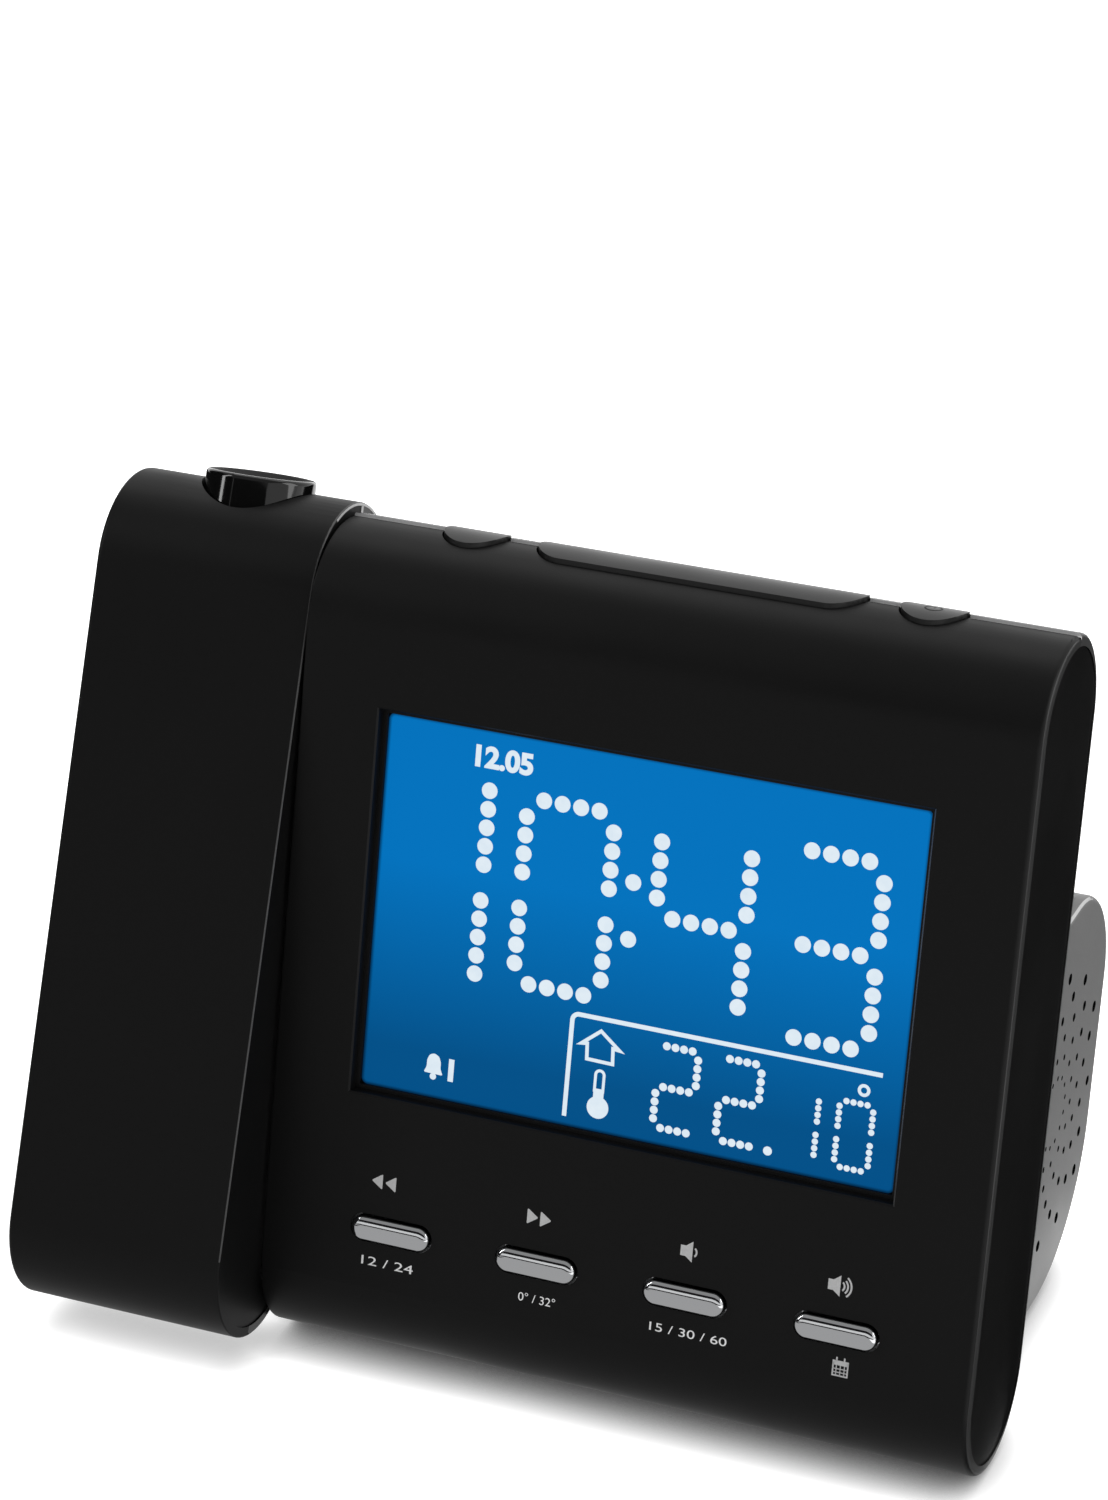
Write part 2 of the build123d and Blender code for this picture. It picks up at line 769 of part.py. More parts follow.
def turned_point(centre, radius, fall):
    """Point of a round at an angle below its rearmost point."""
    return (centre[0] + radius * cos(fall), centre[1] - radius * sin(fall))


def housing_outline(margin):
    """Side outline of the drum foot, drawn inwards by a margin."""
    top = housing_top - margin
    low = housing_bottom + margin
    shoulder = (housing_reach - housing_shoulder_radius, housing_top - housing_shoulder_radius)
    fall = radians(lean_angle)  # the back leans as the case does
    heel_drop = shoulder[1] - housing_bottom - housing_heel_radius
    heel_drop = heel_drop - (housing_shoulder_radius - housing_heel_radius) * sin(fall)
    heel_inset = heel_drop * sin(fall) / cos(fall)
    heel_inset = heel_inset - (housing_shoulder_radius - housing_heel_radius) * cos(fall)
    heel = (shoulder[0] - heel_inset, housing_bottom + housing_heel_radius)
    back_top = turned_point(shoulder, housing_shoulder_radius - margin, fall)
    back_low = turned_point(heel, housing_heel_radius - margin, fall)
    toe = (housing_toe + margin / 2, low)
    nose = (housing_front, housing_nose_height + margin)
    lines = Line((housing_front, top), (shoulder[0], top))
    lines = lines + CenterArc(shoulder, housing_shoulder_radius - margin, -lean_angle, 90 + lean_angle)
    lines = lines + Line(back_top, back_low)
    lines = lines + CenterArc(heel, housing_heel_radius - margin, -90, 90 - lean_angle)
    lines = lines + Line((heel[0], low), toe)
    lines = lines + Line(toe, nose) + Line(nose, (housing_front, top))
    return make_face(lines)


def housing_bar(margin, x0, x1):
    """Solid of the housing's outline between two X places."""
    side = Plane(origin=(x0, 0, 0), x_dir=(0, 1, 0), z_dir=(1, 0, 0))
    return extrude(side * housing_outline(margin), amount=x1 - x0)


case_space = stand(slab(slab_radius, slab_span, case_left - 1, case_right + 1))
housing = housing_bar(0, housing_x0, housing_x1)
left_rim = housing.faces().sort_by(Axis.X)[0].edges()
housing = fillet([edge for edge in left_rim if edge.center().Y > housing_front], housing_edge)
housing = housing - housing_bar(housing_wall, housing_x0 + housing_wall, housing_x1 + 1) - case_space
housing = housing.solids().sort_by(SortBy.VOLUME)[-1]
collar_radius = jack_bore + jack_collar
housing = housing - cross_rod(collar_radius, housing_x0 - 1, jack_x0 + 1, jack_centre_y, jack_centre_z)
shelf_top = jack_centre_z - jack_height / 2
housing = housing + block(
    jack_x0,
    jack_x0 + jack_length,
    jack_centre_y - jack_width / 2,
    jack_centre_y + jack_width / 2,
    housing_bottom + housing_wall,
    shelf_top,
)
nodes["speaker_housing"] = housing

grille = housing_bar(0, housing_x1, housing_x1 + grille_thickness) - case_space
grille = grille.solids().sort_by(SortBy.VOLUME)[-1]
grille_rim = [
    edge
    for edge in grille.faces().sort_by(Axis.X)[-1].edges()
    if edge.center().Y > housing_toe - 1 and edge.length > toe_depth
]
grille = fillet(grille_rim, housing_edge)
plate = grille


def on_plate(y, z, reach):
    """True where a hole of that reach lies wholly on the grille's plate."""
    x = housing_x1 + grille_thickness / 2
    ends = [(x, y + reach, z), (x, y - reach, z), (x, y, z + reach), (x, y, z - reach)]
    return all(plate.is_inside(end) for end in ends)


for ring in range(grille_rings):
    radius = grille_first_radius + grille_ring_step * ring
    hole_radius = grille_small_hole + grille_hole_growth * ring
    for ray in range(grille_rays):
        angle = radians(360.0 / grille_rays * ray + grille_twist * ring)
        y = speaker_centre_y + radius * cos(angle)
        z = speaker_centre_z + radius * sin(angle)
        if on_plate(y, z, hole_radius + housing_wall):
            hole_end = housing_x1 + 2 * grille_thickness
            grille = grille - cross_rod(hole_radius, housing_x1 - 1, hole_end, y, z)
nodes["speaker_grille"] = grille

# ---------------------------------------------------------------- speaker

speaker_front = housing_x1


def turned(points):
    """Turns a half section of (distance behind the grille, radius) points about the speaker's axis."""
    centre = (speaker_front, speaker_centre_y, speaker_centre_z)
    side = Plane(origin=centre, x_dir=(-1, 0, 0), z_dir=(0, 1, 0))
    face = side * make_face(Polyline(*points, close=True))
    return revolve(face, Axis(centre, (1, 0, 0)), 360)


cone_rim = speaker_radius - speaker_rim_width
voice_coil_radius = cone_throat_radius + basket_thickness
nodes["speaker_frame"] = turned(
    [
        (0, cone_rim),
        (0, speaker_radius),
        (speaker_rim_thickness, speaker_radius),
        (speaker_rim_thickness, speaker_radius - basket_thickness),
        (speaker_basket_depth, magnet_radius),
        (speaker_basket_depth, voice_coil_radius),
        (speaker_basket_depth - basket_thickness, voice_coil_radius),
        (speaker_basket_depth - basket_thickness, magnet_radius - cone_thickness),
        (speaker_rim_thickness + cone_thickness, cone_rim - cone_thickness),
        (speaker_rim_thickness, cone_rim),
    ]
)
nodes["speaker_cone"] = turned(
    [
        (cone_set_back, cone_rim - seat_clearance),
        (cone_set_back + cone_thickness, cone_rim - seat_clearance),
        (speaker_basket_depth - cone_throat_rest, cone_throat_radius),
        (speaker_basket_depth - cone_rest, 0),
        (speaker_basket_depth - cone_rest - cone_thickness, 0),
        (speaker_basket_depth - cone_throat_rest - cone_thickness, cone_throat_radius),
    ]
)
nodes["speaker_magnet"] = turned(
    [
        (speaker_basket_depth, 0),
        (speaker_basket_depth, magnet_radius),
        (speaker_basket_depth + magnet_thickness, magnet_radius),
        (speaker_basket_depth + magnet_thickness, 0),
    ]
)

# ---------------------------------------------------------------- power inlet

jack = block(
    jack_x0,
    jack_x0 + jack_length,
    jack_centre_y - jack_width / 2,
    jack_centre_y + jack_width / 2,
    jack_centre_z - jack_height / 2,
    jack_centre_z + jack_height / 2,
)
collar = cross_rod(collar_radius - seat_clearance, housing_x0, jack_x0 + 1, jack_centre_y, jack_centre_z)
socket = cross_rod(jack_bore, housing_x0, jack_x0 + jack_bore_depth, jack_centre_y, jack_centre_z)
pin = cross_rod(jack_pin, jack_x0, jack_x0 + jack_bore_depth + 1, jack_centre_y, jack_centre_z)
nodes["power_inlet"] = jack + collar - socket + pin

# ---------------------------------------------------------------- feet

feet = []
for side in (-1, 1):
    x = case_middle + side * foot_spread
    feet.append(rod(foot_radius, housing_bottom, (x, foot_centre_y, 0), (0, 0, 1)))
    toe = block(x - toe_length / 2, x + toe_length / 2, -toe_depth / 2, toe_depth / 2, 0, slab_base)
    feet.append((toe - case_space).solids().sort_by(Axis.Z)[0])
nodes["rubber_feet"] = Compound(feet)

# ---------------------------------------------------------------- projector arm

arm_front, arm_rear = shell_pair(arm_left, arm_right, arm_top_centre, end_round, seam_round, False)
ring_hole = rod(ring_radius + ring_clearance, 2 * slab_radius, (turret_x, 0, arm_top_centre), (0, 0, 1))
arm_front = arm_front - ring_hole
arm_rear = arm_rear - ring_hole

outer_cap_x0 = arm_left + rim_depth
inner_cap_x1 = arm_right - rim_depth
inner_cap_x0 = inner_cap_x1 - cap_thickness
arm_boss_places = [
    (outer_cap_x0 + cap_thickness + boss_radius + seat_clearance, lower_boss_height),
    (inner_cap_x0 - boss_radius - seat_clearance, lower_boss_height),
]
for x, z in arm_boss_places:
    arm_front = arm_front + screw_post(x, z)
    arm_rear = arm_rear + screw_well(x, z) - screw_well_cut(x, z)

# brackets in the rear shell that carry the projector's deck
deck_top = arm_top_centre + slab_radius - deck_drop
deck_bottom = deck_top - deck_thickness
for side in (-1, 1):
    x = turret_x + side * (deck_width / 2 - wall)
    low = deck_bottom - bracket_height
    arm_rear = arm_rear + block(x - wall / 2, x + wall / 2, clear_of_tongue_y, inner_radius, low, deck_bottom)
nodes["arm_front_shell"] = swing(arm_front)
nodes["arm_rear_shell"] = swing(arm_rear)
nodes["arm_screws"] = swing(Compound([case_screw(x, z) for x, z in arm_boss_places]))
nodes["arm_outer_cap"] = swing(plain_cap(arm_left, -1, arm_top_centre))

inner_cap = plain_cap(arm_right, 1, arm_top_centre)
hub_hole_radius = shaft_radius + seat_clearance
inner_cap = inner_cap - cross_rod(hub_hole_radius, inner_cap_x0 - 1, arm_right, 0, pivot_height)
nodes["arm_inner_cap"] = swing(inner_cap)

# ---------------------------------------------------------------- swivel

clip_x0 = left_cap_x1 + washer_thickness + 2 * seat_clearance
clip_x1 = clip_x0 + clip_thickness
shaft_x0 = inner_cap_x0 - hub_flange_thickness
shaft_x1 = clip_x1 + shaft_tail
hub = cross_rod(shaft_radius, shaft_x0, shaft_x1, 0, pivot_height)
hub = hub + cross_rod(hub_flange_radius, shaft_x0, inner_cap_x0, 0, pivot_height)
half_seat = seat_clearance / 2
clip_seat = cross_rod(shaft_radius + 1, clip_x0 - half_seat, clip_x1 + half_seat, 0, pivot_height)
clip_seat = clip_seat - cross_rod(shaft_radius - clip_groove, clip_x0 - 1, clip_x1 + 1, 0, pivot_height)
hub = hub - clip_seat
lug = stop_sector(
    shaft_radius + lug_reach,
    swing_angle - lug_width_angle / 2,
    lug_width_angle,
    left_cap_x0 + 2 * seat_clearance,
    left_cap_x0 + lug_thickness,
)
wire_way = cross_rod(shaft_bore, shaft_x0 - 1, shaft_x1 + 1, 0, pivot_height)
nodes["swivel_hub"] = stand(hub + lug - wire_way)

washer_x0 = left_cap_x1 + seat_clearance
washer = cross_rod(clip_radius, washer_x0, washer_x0 + washer_thickness, 0, pivot_height)
washer = washer - cross_rod(hub_hole_radius, left_cap_x1, clip_x0, 0, pivot_height)
nodes["friction_washer"] = stand(washer)

clip_bore = shaft_radius - clip_groove + seat_clearance
clip = cross_rod(clip_radius, clip_x0, clip_x1, 0, pivot_height)
clip = clip - cross_rod(clip_bore, clip_x0 - 1, clip_x1 + 1, 0, pivot_height)
mouth = clip_mouth / 2
clip = clip - block(clip_x0 - 1, clip_x1 + 1, -mouth, mouth, pivot_height - 2 * clip_radius, pivot_height)
nodes["hub_clip"] = stand(clip)

# ---------------------------------------------------------------- projector and focus ring

ring_top = arm_top_centre + slab_radius + ring_proud
tube_bottom = deck_bottom - tube_length
tube_bore = barrel_radius + running_clearance
deck_radius = ring_flange_radius + deck_margin
chassis = rod(deck_radius, deck_thickness, (turret_x, 0, deck_bottom), (0, 0, 1))
chassis = chassis + block(
    turret_x - deck_width / 2,
    turret_x + deck_width / 2,
    clear_of_tongue_y,
    deck_radius - 2 * deck_margin,
    deck_bottom,
    deck_top,
)
chassis = chassis + rod(tube_bore + tube_wall, tube_length, (turret_x, 0, tube_bottom), (0, 0, 1))
bore_length = tube_length + deck_thickness + 2
chassis = chassis - rod(tube_bore, bore_length, (turret_x, 0, tube_bottom - 1), (0, 0, 1))
nodes["projector_chassis"] = swing(chassis)

ring_seat = deck_top + 2 * seat_clearance
ring = rod(ring_radius, ring_top - ring_seat, (turret_x, 0, ring_seat), (0, 0, 1))
ring = chamfer(ring.faces().sort_by(Axis.Z)[-1].edges(), ring_chamfer)
ring = ring + rod(ring_flange_radius, ring_flange_thickness, (turret_x, 0, ring_seat), (0, 0, 1))
ring = ring - rod(barrel_radius + running_clearance, ring_top, (turret_x, 0, ring_seat - 1), (0, 0, 1))
mouth_plane = Plane((turret_x, 0, ring_top - ring_mouth_depth))
mouth_low_radius = barrel_radius + running_clearance
ring = ring - Solid.make_cone(mouth_low_radius, ring_mouth_radius, ring_mouth_depth, mouth_plane)
nodes["focus_ring"] = swing(ring)

barrel_top = ring_top - ring_mouth_depth - lens_travel - barrel_spare
barrel_bottom = barrel_top - barrel_length
barrel = rod(barrel_radius, barrel_length, (turret_x, 0, barrel_bottom), (0, 0, 1))
barrel = barrel - rod(barrel_bore, barrel_length + 2, (turret_x, 0, barrel_bottom - 1), (0, 0, 1))
nodes["lens_barrel"] = swing(barrel)


def lens(radius, base_z):
    """Biconvex lens whose straight edge starts at base_z."""
    curve = (radius**2 + lens_sag**2) / (2 * lens_sag)
    edge_top = base_z + lens_thickness - 2 * lens_sag
    blank = rod(radius, lens_thickness, (turret_x, 0, base_z - lens_sag), (0, 0, 1))
    lower_ball = Pos(turret_x, 0, base_z - lens_sag + curve) * Sphere(curve)
    upper_ball = Pos(turret_x, 0, edge_top + lens_sag - curve) * Sphere(curve)
    return blank & lower_ball & upper_ball


lens_base = barrel_top - lens_thickness - lens_set_back
nodes["projection_lens"] = swing(lens(barrel_bore - seat_clearance, lens_base))
nodes["condenser_lens"] = swing(lens(tube_bore - seat_clearance, tube_bottom + condenser_lift))
nodes["projection_panel"] = swing(
    rod(tube_bore - seat_clearance, film_thickness, (turret_x, 0, tube_bottom + film_lift), (0, 0, 1))
)
led_dome_z = tube_bottom + led_height - led_radius
led = rod(led_radius, led_dome_z - tube_bottom, (turret_x, 0, tube_bottom), (0, 0, 1))
led = led + Pos(turret_x, 0, led_dome_z) * Sphere(led_radius)
nodes["projector_led"] = swing(led)
led_board_place = (turret_x, 0, tube_bottom - led_board_thickness)
nodes["led_board"] = swing(rod(tube_bore + tube_wall, led_board_thickness, led_board_place, (0, 0, 1)))

# ---------------------------------------------------------------- origin and export

# The origin is the middle of the whole clock's footprint, on the surface it stands on.
boxes = [piece.bounding_box() for piece in nodes.values()]
low_x = min(box.min.X for box in boxes)
high_x = max(box.max.X for box in boxes)
low_y = min(box.min.Y for box in boxes)
high_y = max(box.max.Y for box in boxes)
low_z = min(box.min.Z for box in boxes)
to_origin = Pos(-(low_x + high_x) / 2, -(low_y + high_y) / 2, -low_z)

for name, piece in nodes.items():
    export_step(to_origin * piece, f"parts/{name}.step")

high_z = max(box.max.Z for box in boxes)
print("nodes", len(nodes))
print("overall", round(high_x - low_x, 2), round(high_y - low_y, 2), round(high_z - low_z, 2))
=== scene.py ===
# %% [markdown]
# # A projection alarm clock
# The solids of this clock come from its CAD model and stay where they are. This lesson gives
# them their looks: softened edges, plated keys, a lit display, printed symbols and the plastics
# they are moulded in. Every object here is in metres, +Z is up and the clock's front faces -Y.

# %% Load the fixed frame
import bpy
import json
from math import atan2, cos, degrees, pi, radians, sin
from mathutils import Matrix, Vector

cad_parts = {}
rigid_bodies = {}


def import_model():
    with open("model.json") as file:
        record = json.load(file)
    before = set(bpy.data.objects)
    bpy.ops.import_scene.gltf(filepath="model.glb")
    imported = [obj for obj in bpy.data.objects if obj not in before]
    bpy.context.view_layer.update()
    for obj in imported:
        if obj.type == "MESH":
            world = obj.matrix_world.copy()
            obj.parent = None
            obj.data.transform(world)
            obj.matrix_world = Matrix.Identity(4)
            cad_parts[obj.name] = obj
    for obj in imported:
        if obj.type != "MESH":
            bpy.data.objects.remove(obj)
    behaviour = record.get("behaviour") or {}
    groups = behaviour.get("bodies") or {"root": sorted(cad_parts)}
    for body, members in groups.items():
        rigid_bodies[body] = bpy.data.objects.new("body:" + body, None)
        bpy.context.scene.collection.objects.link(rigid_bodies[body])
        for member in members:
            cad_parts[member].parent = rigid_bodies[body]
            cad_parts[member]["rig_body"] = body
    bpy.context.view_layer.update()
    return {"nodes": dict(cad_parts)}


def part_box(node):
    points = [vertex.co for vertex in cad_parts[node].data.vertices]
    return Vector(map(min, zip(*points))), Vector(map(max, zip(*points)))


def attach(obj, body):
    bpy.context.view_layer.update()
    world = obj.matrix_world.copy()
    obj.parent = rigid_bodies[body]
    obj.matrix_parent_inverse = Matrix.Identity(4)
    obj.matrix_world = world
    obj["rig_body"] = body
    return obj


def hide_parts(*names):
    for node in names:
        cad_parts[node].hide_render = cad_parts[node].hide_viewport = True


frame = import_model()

mm = 0.001
nodes = frame["nodes"]
scene = bpy.context.scene

# %% [markdown]
# The body of the clock is an upright slab that leans back on its rounded lower end. Marks and
# keys are easier to place on a slab that stands upright, so a matrix takes the upright slab to
# its leaning place. The projector arm swings about an axis near the slab's top and rests nine
# degrees out of line, with its lower end in front, so it has a matrix of its own.

# %% The slab's and the arm's places
lean = radians(12.5)
swing = radians(9)
slab_centre = Vector((0, -27.784, 16.7)) * mm  # the centre of the slab's bottom round
swing_axis = Vector((0, 0, 105.5)) * mm  # up the slab, from that centre
case_frame = Matrix.Translation(slab_centre) @ Matrix.Rotation(-lean, 4, "X")
to_axis = Matrix.Translation(swing_axis)
arm_frame = case_frame @ to_axis @ Matrix.Rotation(-swing, 4, "X") @ to_axis.inverted()
front_y = -15.9  # the slab's front face, in millimetres from its middle plane
panel_y = -13.0  # the display's face
parting_y = 1.0  # where the front and the rear shell meet
upper_axis_z = 116.2  # the axis of the slab's upper round
turret_x = -64.7  # the lens axis on the arm
print("slab leans", round(degrees(lean), 1), "degrees; arm swings", round(degrees(swing), 1))

# %% [markdown]
# The camera stands to the right and a little above, with a long lens so that the clock's edges
# converge only slightly. The lens is worked out for an upright picture of 1108 by 1500.

# %% Camera
azimuth, elevation = radians(22.57), radians(26.0)
target = Vector((4.63, -26.779, 122.04)) * mm
distance = 828.26 * mm
picture_height, focal_length = 1500, 4933.03  # in pixels
backwards = Vector((sin(azimuth) * cos(elevation), -cos(azimuth) * cos(elevation), sin(elevation)))
bpy.ops.object.camera_add(location=target + backwards * distance,
                          rotation=(pi / 2 - elevation, 0, azimuth))
camera = bpy.context.object
camera.name = "camera"
camera.data.sensor_fit = "VERTICAL"
camera.data.sensor_height = 36
camera.data.lens = focal_length * camera.data.sensor_height / picture_height
camera.data.clip_start = 0.01
camera.data.clip_end = 100
scene.camera = camera
print("camera at", [round(v, 4) for v in camera.location])

# %% [markdown]
# A material is a small tree of nodes. Two helpers do most of the work: one turns a colour that is
# written as sRGB hex into the linear values that the renderer works in, and one adds a node with
# its settings, its socket values and its links. A third turns the real size of a pattern's grains
# into the scale that the pattern asks for.

# %% Colour and node helpers
def linear(hex_colour):
    """sRGB hex to linear RGBA."""
    values = [int(hex_colour[i:i + 2], 16) / 255 for i in (1, 3, 5)]
    return [v / 12.92 if v <= 0.04045 else ((v + 0.055) / 1.055) ** 2.4 for v in values] + [1]


def add(tree, kind, values=None, links=None, **settings):
    """One node: settings are its properties, values its sockets, links what feeds its sockets."""
    node = tree.nodes.new(kind)
    for name, value in settings.items():
        setattr(node, name, value)
    for socket, value in (values or {}).items():
        node.inputs[socket].default_value = value
    for socket, source in (links or {}).items():
        tree.links.new(source, node.inputs[socket])
    return node


def new_tree(name):
    """An empty material and its tree."""
    material = bpy.data.materials.new(name)
    material.use_nodes = True
    material.node_tree.nodes.clear()
    return material, material.node_tree


def lattice(grain_mm):
    """The Scale of a texture whose grains or threads are grain_mm across."""
    return 1 / (grain_mm * mm)


def seen_directly(tree):
    """1 for camera, mirror-like and transmitted rays, 0 for the soft light between surfaces."""
    path = add(tree, "ShaderNodeLightPath")
    seen = path.outputs["Is Camera Ray"]
    for kind in ("Is Glossy Ray", "Is Transmission Ray"):
        seen = add(tree, "ShaderNodeMath", links={0: seen, 1: path.outputs[kind]},
                   operation="MAXIMUM").outputs[0]
    return seen


print("white is", [round(v, 2) for v in linear("#ffffff")])

# %% [markdown]
# The clock stands on a plain pale sheet. The world is white to the camera and to mirror-like
# rays, and a quiet grey to the soft light that falls on the clock. The floor is a matt white
# sheet with a little light of its own for the same rays, so it fades into the white background
# and still holds the clock's shadow. Close to the clock a painted shade darkens its colour and
# its own light, as in any narrow gap.

# %% World and floor
scene.view_settings.view_transform = "Standard"
world = bpy.data.worlds.new("white_room")
scene.world = world
world.use_nodes = True
tree = world.node_tree
tree.nodes.clear()
quiet = add(tree, "ShaderNodeBackground", {"Color": linear("#ffffff"), "Strength": 0.5})
bright = add(tree, "ShaderNodeBackground", {"Color": linear("#ffffff"), "Strength": 1.0})
mixed = add(tree, "ShaderNodeMixShader",
            links={0: seen_directly(tree), 1: quiet.outputs[0], 2: bright.outputs[0]})
add(tree, "ShaderNodeOutputWorld", links={"Surface": mixed.outputs[0]})

bpy.ops.mesh.primitive_plane_add(size=60, location=(0, 0, 0))
floor = bpy.context.object
floor.name = "floor"
# painted shade: an occlusion node darkens the floor's colour and its own light near the clock
painted_shade_reach, painted_shade_depth = 8 * mm, 1.1  # how far from the clock the floor darkens, and how much
own_light = 0.9
paper, tree = new_tree("matt white paper, coated")
near = add(tree, "ShaderNodeAmbientOcclusion", {"Distance": painted_shade_reach}, samples=16)
shade = add(tree, "ShaderNodeMath", {1: painted_shade_depth}, {0: near.outputs["AO"]}, operation="POWER")
tone = add(tree, "ShaderNodeMixRGB", {"Color1": linear("#000000"), "Color2": linear("#f2f2f2")},
           {"Fac": shade.outputs[0]})
lift = add(tree, "ShaderNodeMath", {1: own_light}, {0: seen_directly(tree)}, operation="MULTIPLY")
lift = add(tree, "ShaderNodeMath", links={0: lift.outputs[0], 1: shade.outputs[0]},
           operation="MULTIPLY")
matt = add(tree, "ShaderNodeBsdfDiffuse", links={"Color": tone.outputs["Color"]})
glow = add(tree, "ShaderNodeEmission", {"Color": linear("#ffffff")}, {"Strength": lift.outputs[0]})
both = add(tree, "ShaderNodeAddShader", links={0: matt.outputs[0], 1: glow.outputs[0]})
add(tree, "ShaderNodeOutputMaterial", links={"Surface": both.outputs[0]})
floor.data.materials.append(paper)
print("floor", floor.dimensions[0], "m across")

# %% [markdown]
# A black object is shown by what it reflects. A broad lamp overhead gives the rounded tops their
# soft sheen, a smaller one on the left draws the arm's edge, and one on the right lifts the grey
# foot. Dark cards, which only mirror-like rays see, keep the flat front deep black, as black
# flags do in a studio.

# %% Lamps and cards
def lamp(name, place, aim, width, depth, power):
    """A rectangular soft box that looks from place to aim, in metres, with power in watts."""
    turn = (Vector(aim) - Vector(place)).to_track_quat("-Z", "Y").to_euler()
    bpy.ops.object.light_add(type="AREA", location=place, rotation=turn)
    soft_box = bpy.context.object
    soft_box.name = name
    soft_box.data.shape = "RECTANGLE"
    soft_box.data.size = width
    soft_box.data.size_y = depth
    soft_box.data.energy = power


lamp("lamp_overhead", (0.0, 0.4, 1.25), (0, 0, 0.05), 1.5, 0.8, 5.0)
lamp("lamp_left", (-1.1, -0.5, 0.7), (0, 0, 0.06), 0.16, 0.9, 3.5)
lamp("lamp_right", (1.2, 0.2, 0.6), (0, 0, 0.05), 0.6, 0.8, 5.0)


def card(name, low, high, colour):
    """A flat card between two opposite corners, seen by mirror-like rays alone."""
    bpy.ops.object.select_all(action="DESELECT")
    low, high = Vector(low), Vector(high)
    bpy.ops.mesh.primitive_plane_add(size=1)
    piece = bpy.context.object
    piece.name = name
    points = [low, Vector((high.x, low.y, low.z)), high, Vector((low.x, high.y, high.z))]
    if low.x == high.x:
        points[1:4:2] = Vector((low.x, high.y, low.z)), Vector((low.x, low.y, high.z))
    for vertex, point in zip((0, 1, 3, 2), points):
        piece.data.vertices[vertex].co = point
    felt, tree = new_tree("card, " + name)
    light = add(tree, "ShaderNodeEmission", {"Color": linear(colour), "Strength": 1.0})
    add(tree, "ShaderNodeOutputMaterial", links={"Surface": light.outputs[0]})
    piece.data.materials.append(felt)
    piece.visible_camera = False
    piece.visible_diffuse = False
    piece.visible_shadow = False
    piece.visible_transmission = False


card("card_table", (-1.6, -1.9, 0.001), (0.12, -0.03, 0.001), "#bcbcbc")
card("card_line", (-1.6, -1.9, 0.001), (1.6, -1.9, 0.14), "#101010")
card("card_strip", (-1.6, -1.9, 0.14), (1.6, -1.9, 0.52), "#f4f4f4")
card("card_dark", (-1.6, -1.9, 0.52), (1.6, -1.9, 2.0), "#202020")
card("card_ceiling", (-1.6, -1.85, 1.3), (1.6, 0.7, 1.3), "#a0a0a0")
card("card_floor_left", (-1.6, -0.5, 0.002), (-0.2, 0.6, 0.002), "#1c1c1c")
card("card_left", (-1.6, -1.82, 0.001), (-1.6, 1.0, 1.6), "#181818")
card("card_behind", (0.088, 0.04, 0.001), (0.8, 2.0, 0.001), "#0c0c0c")
card("card_beside", (0.088, -0.045, 0.001), (0.2, 0.04, 0.001), "#0c0c0c")

# %% [markdown]
# Nearly all of the clock is moulded plastic. ABS that is moulded against an eroded steel tool
# comes out with a very fine grain, which spreads the highlights into a satin sheen. The real
# grain is about 0.08 mm and could not be seen here, so it is drawn three to five times as coarse
# and very shallow. A second, slow pattern varies the roughness a little, as handling and the
# flow of the plastic do.

# %% Moulded plastics
handling_mm = 22.0  # the size of the slow pattern


def moulded(name, colours, roughness, grain_mm, depth_mm, spread=0.05, specular=0.5):
    """A moulded plastic: fine grain as bump and tone, and a slow change of roughness."""
    material, tree = new_tree(name)
    place = add(tree, "ShaderNodeTexCoord").outputs["Object"]
    grain = add(tree, "ShaderNodeTexNoise",
                {"Scale": lattice(grain_mm), "Detail": 2.0, "Roughness": 0.6}, {"Vector": place})
    slow = add(tree, "ShaderNodeTexNoise", {"Scale": lattice(handling_mm), "Detail": 3.0},
               {"Vector": place})
    rough = add(tree, "ShaderNodeMapRange",
                {"From Min": 0.3, "From Max": 0.7, "To Min": roughness - spread,
                 "To Max": roughness + spread}, {"Value": slow.outputs["Fac"]})
    tone = add(tree, "ShaderNodeMixRGB",
               {"Color1": linear(colours[0]), "Color2": linear(colours[1])},
               {"Fac": grain.outputs["Fac"]})
    bump = add(tree, "ShaderNodeBump", {"Strength": 1.0, "Distance": depth_mm * mm},
               {"Height": grain.outputs["Fac"]})
    skin = add(tree, "ShaderNodeBsdfPrincipled", {"IOR": 1.54, "Specular IOR Level": specular},
               {"Base Color": tone.outputs["Color"], "Roughness": rough.outputs["Result"],
                "Normal": bump.outputs["Normal"]})
    add(tree, "ShaderNodeOutputMaterial", links={"Surface": skin.outputs[0]})
    return material


# Case: ABS, moulded with a fine eroded texture; deep black, soft grey where it faces a lamp.
case_abs = moulded("black ABS, moulded, fine texture", ("#101010", "#131313"), 0.42, 0.35, 0.012,
                   specular=0.12)
# Rear shells: the same ABS from a smoother tool half; semi-gloss, so it shines seen edge on.
rear_abs = moulded("black ABS, moulded, semi-gloss", ("#101010", "#131313"), 0.24, 0.4, 0.008)
# Caps in the ends: ABS from a plain polished tool; a little darker and cleaner than the case.
cap_abs = moulded("black ABS, moulded, plain", ("#121212", "#161616"), 0.38, 0.5, 0.006,
                  specular=0.1)
# Top buttons: ABS, satin; slightly smoother than the case round them, so they catch the light.
button_abs = moulded("black ABS, moulded, satin", ("#131313", "#171717"), 0.36, 0.3, 0.008,
                     specular=0.3)
# Foot with the speaker: grey ABS with the same fine texture; pale where it faces up.
grey_abs = moulded("grey ABS, moulded, fine texture", ("#727272", "#7c7c7c"), 0.42, 0.35, 0.015,
                   specular=0.4)
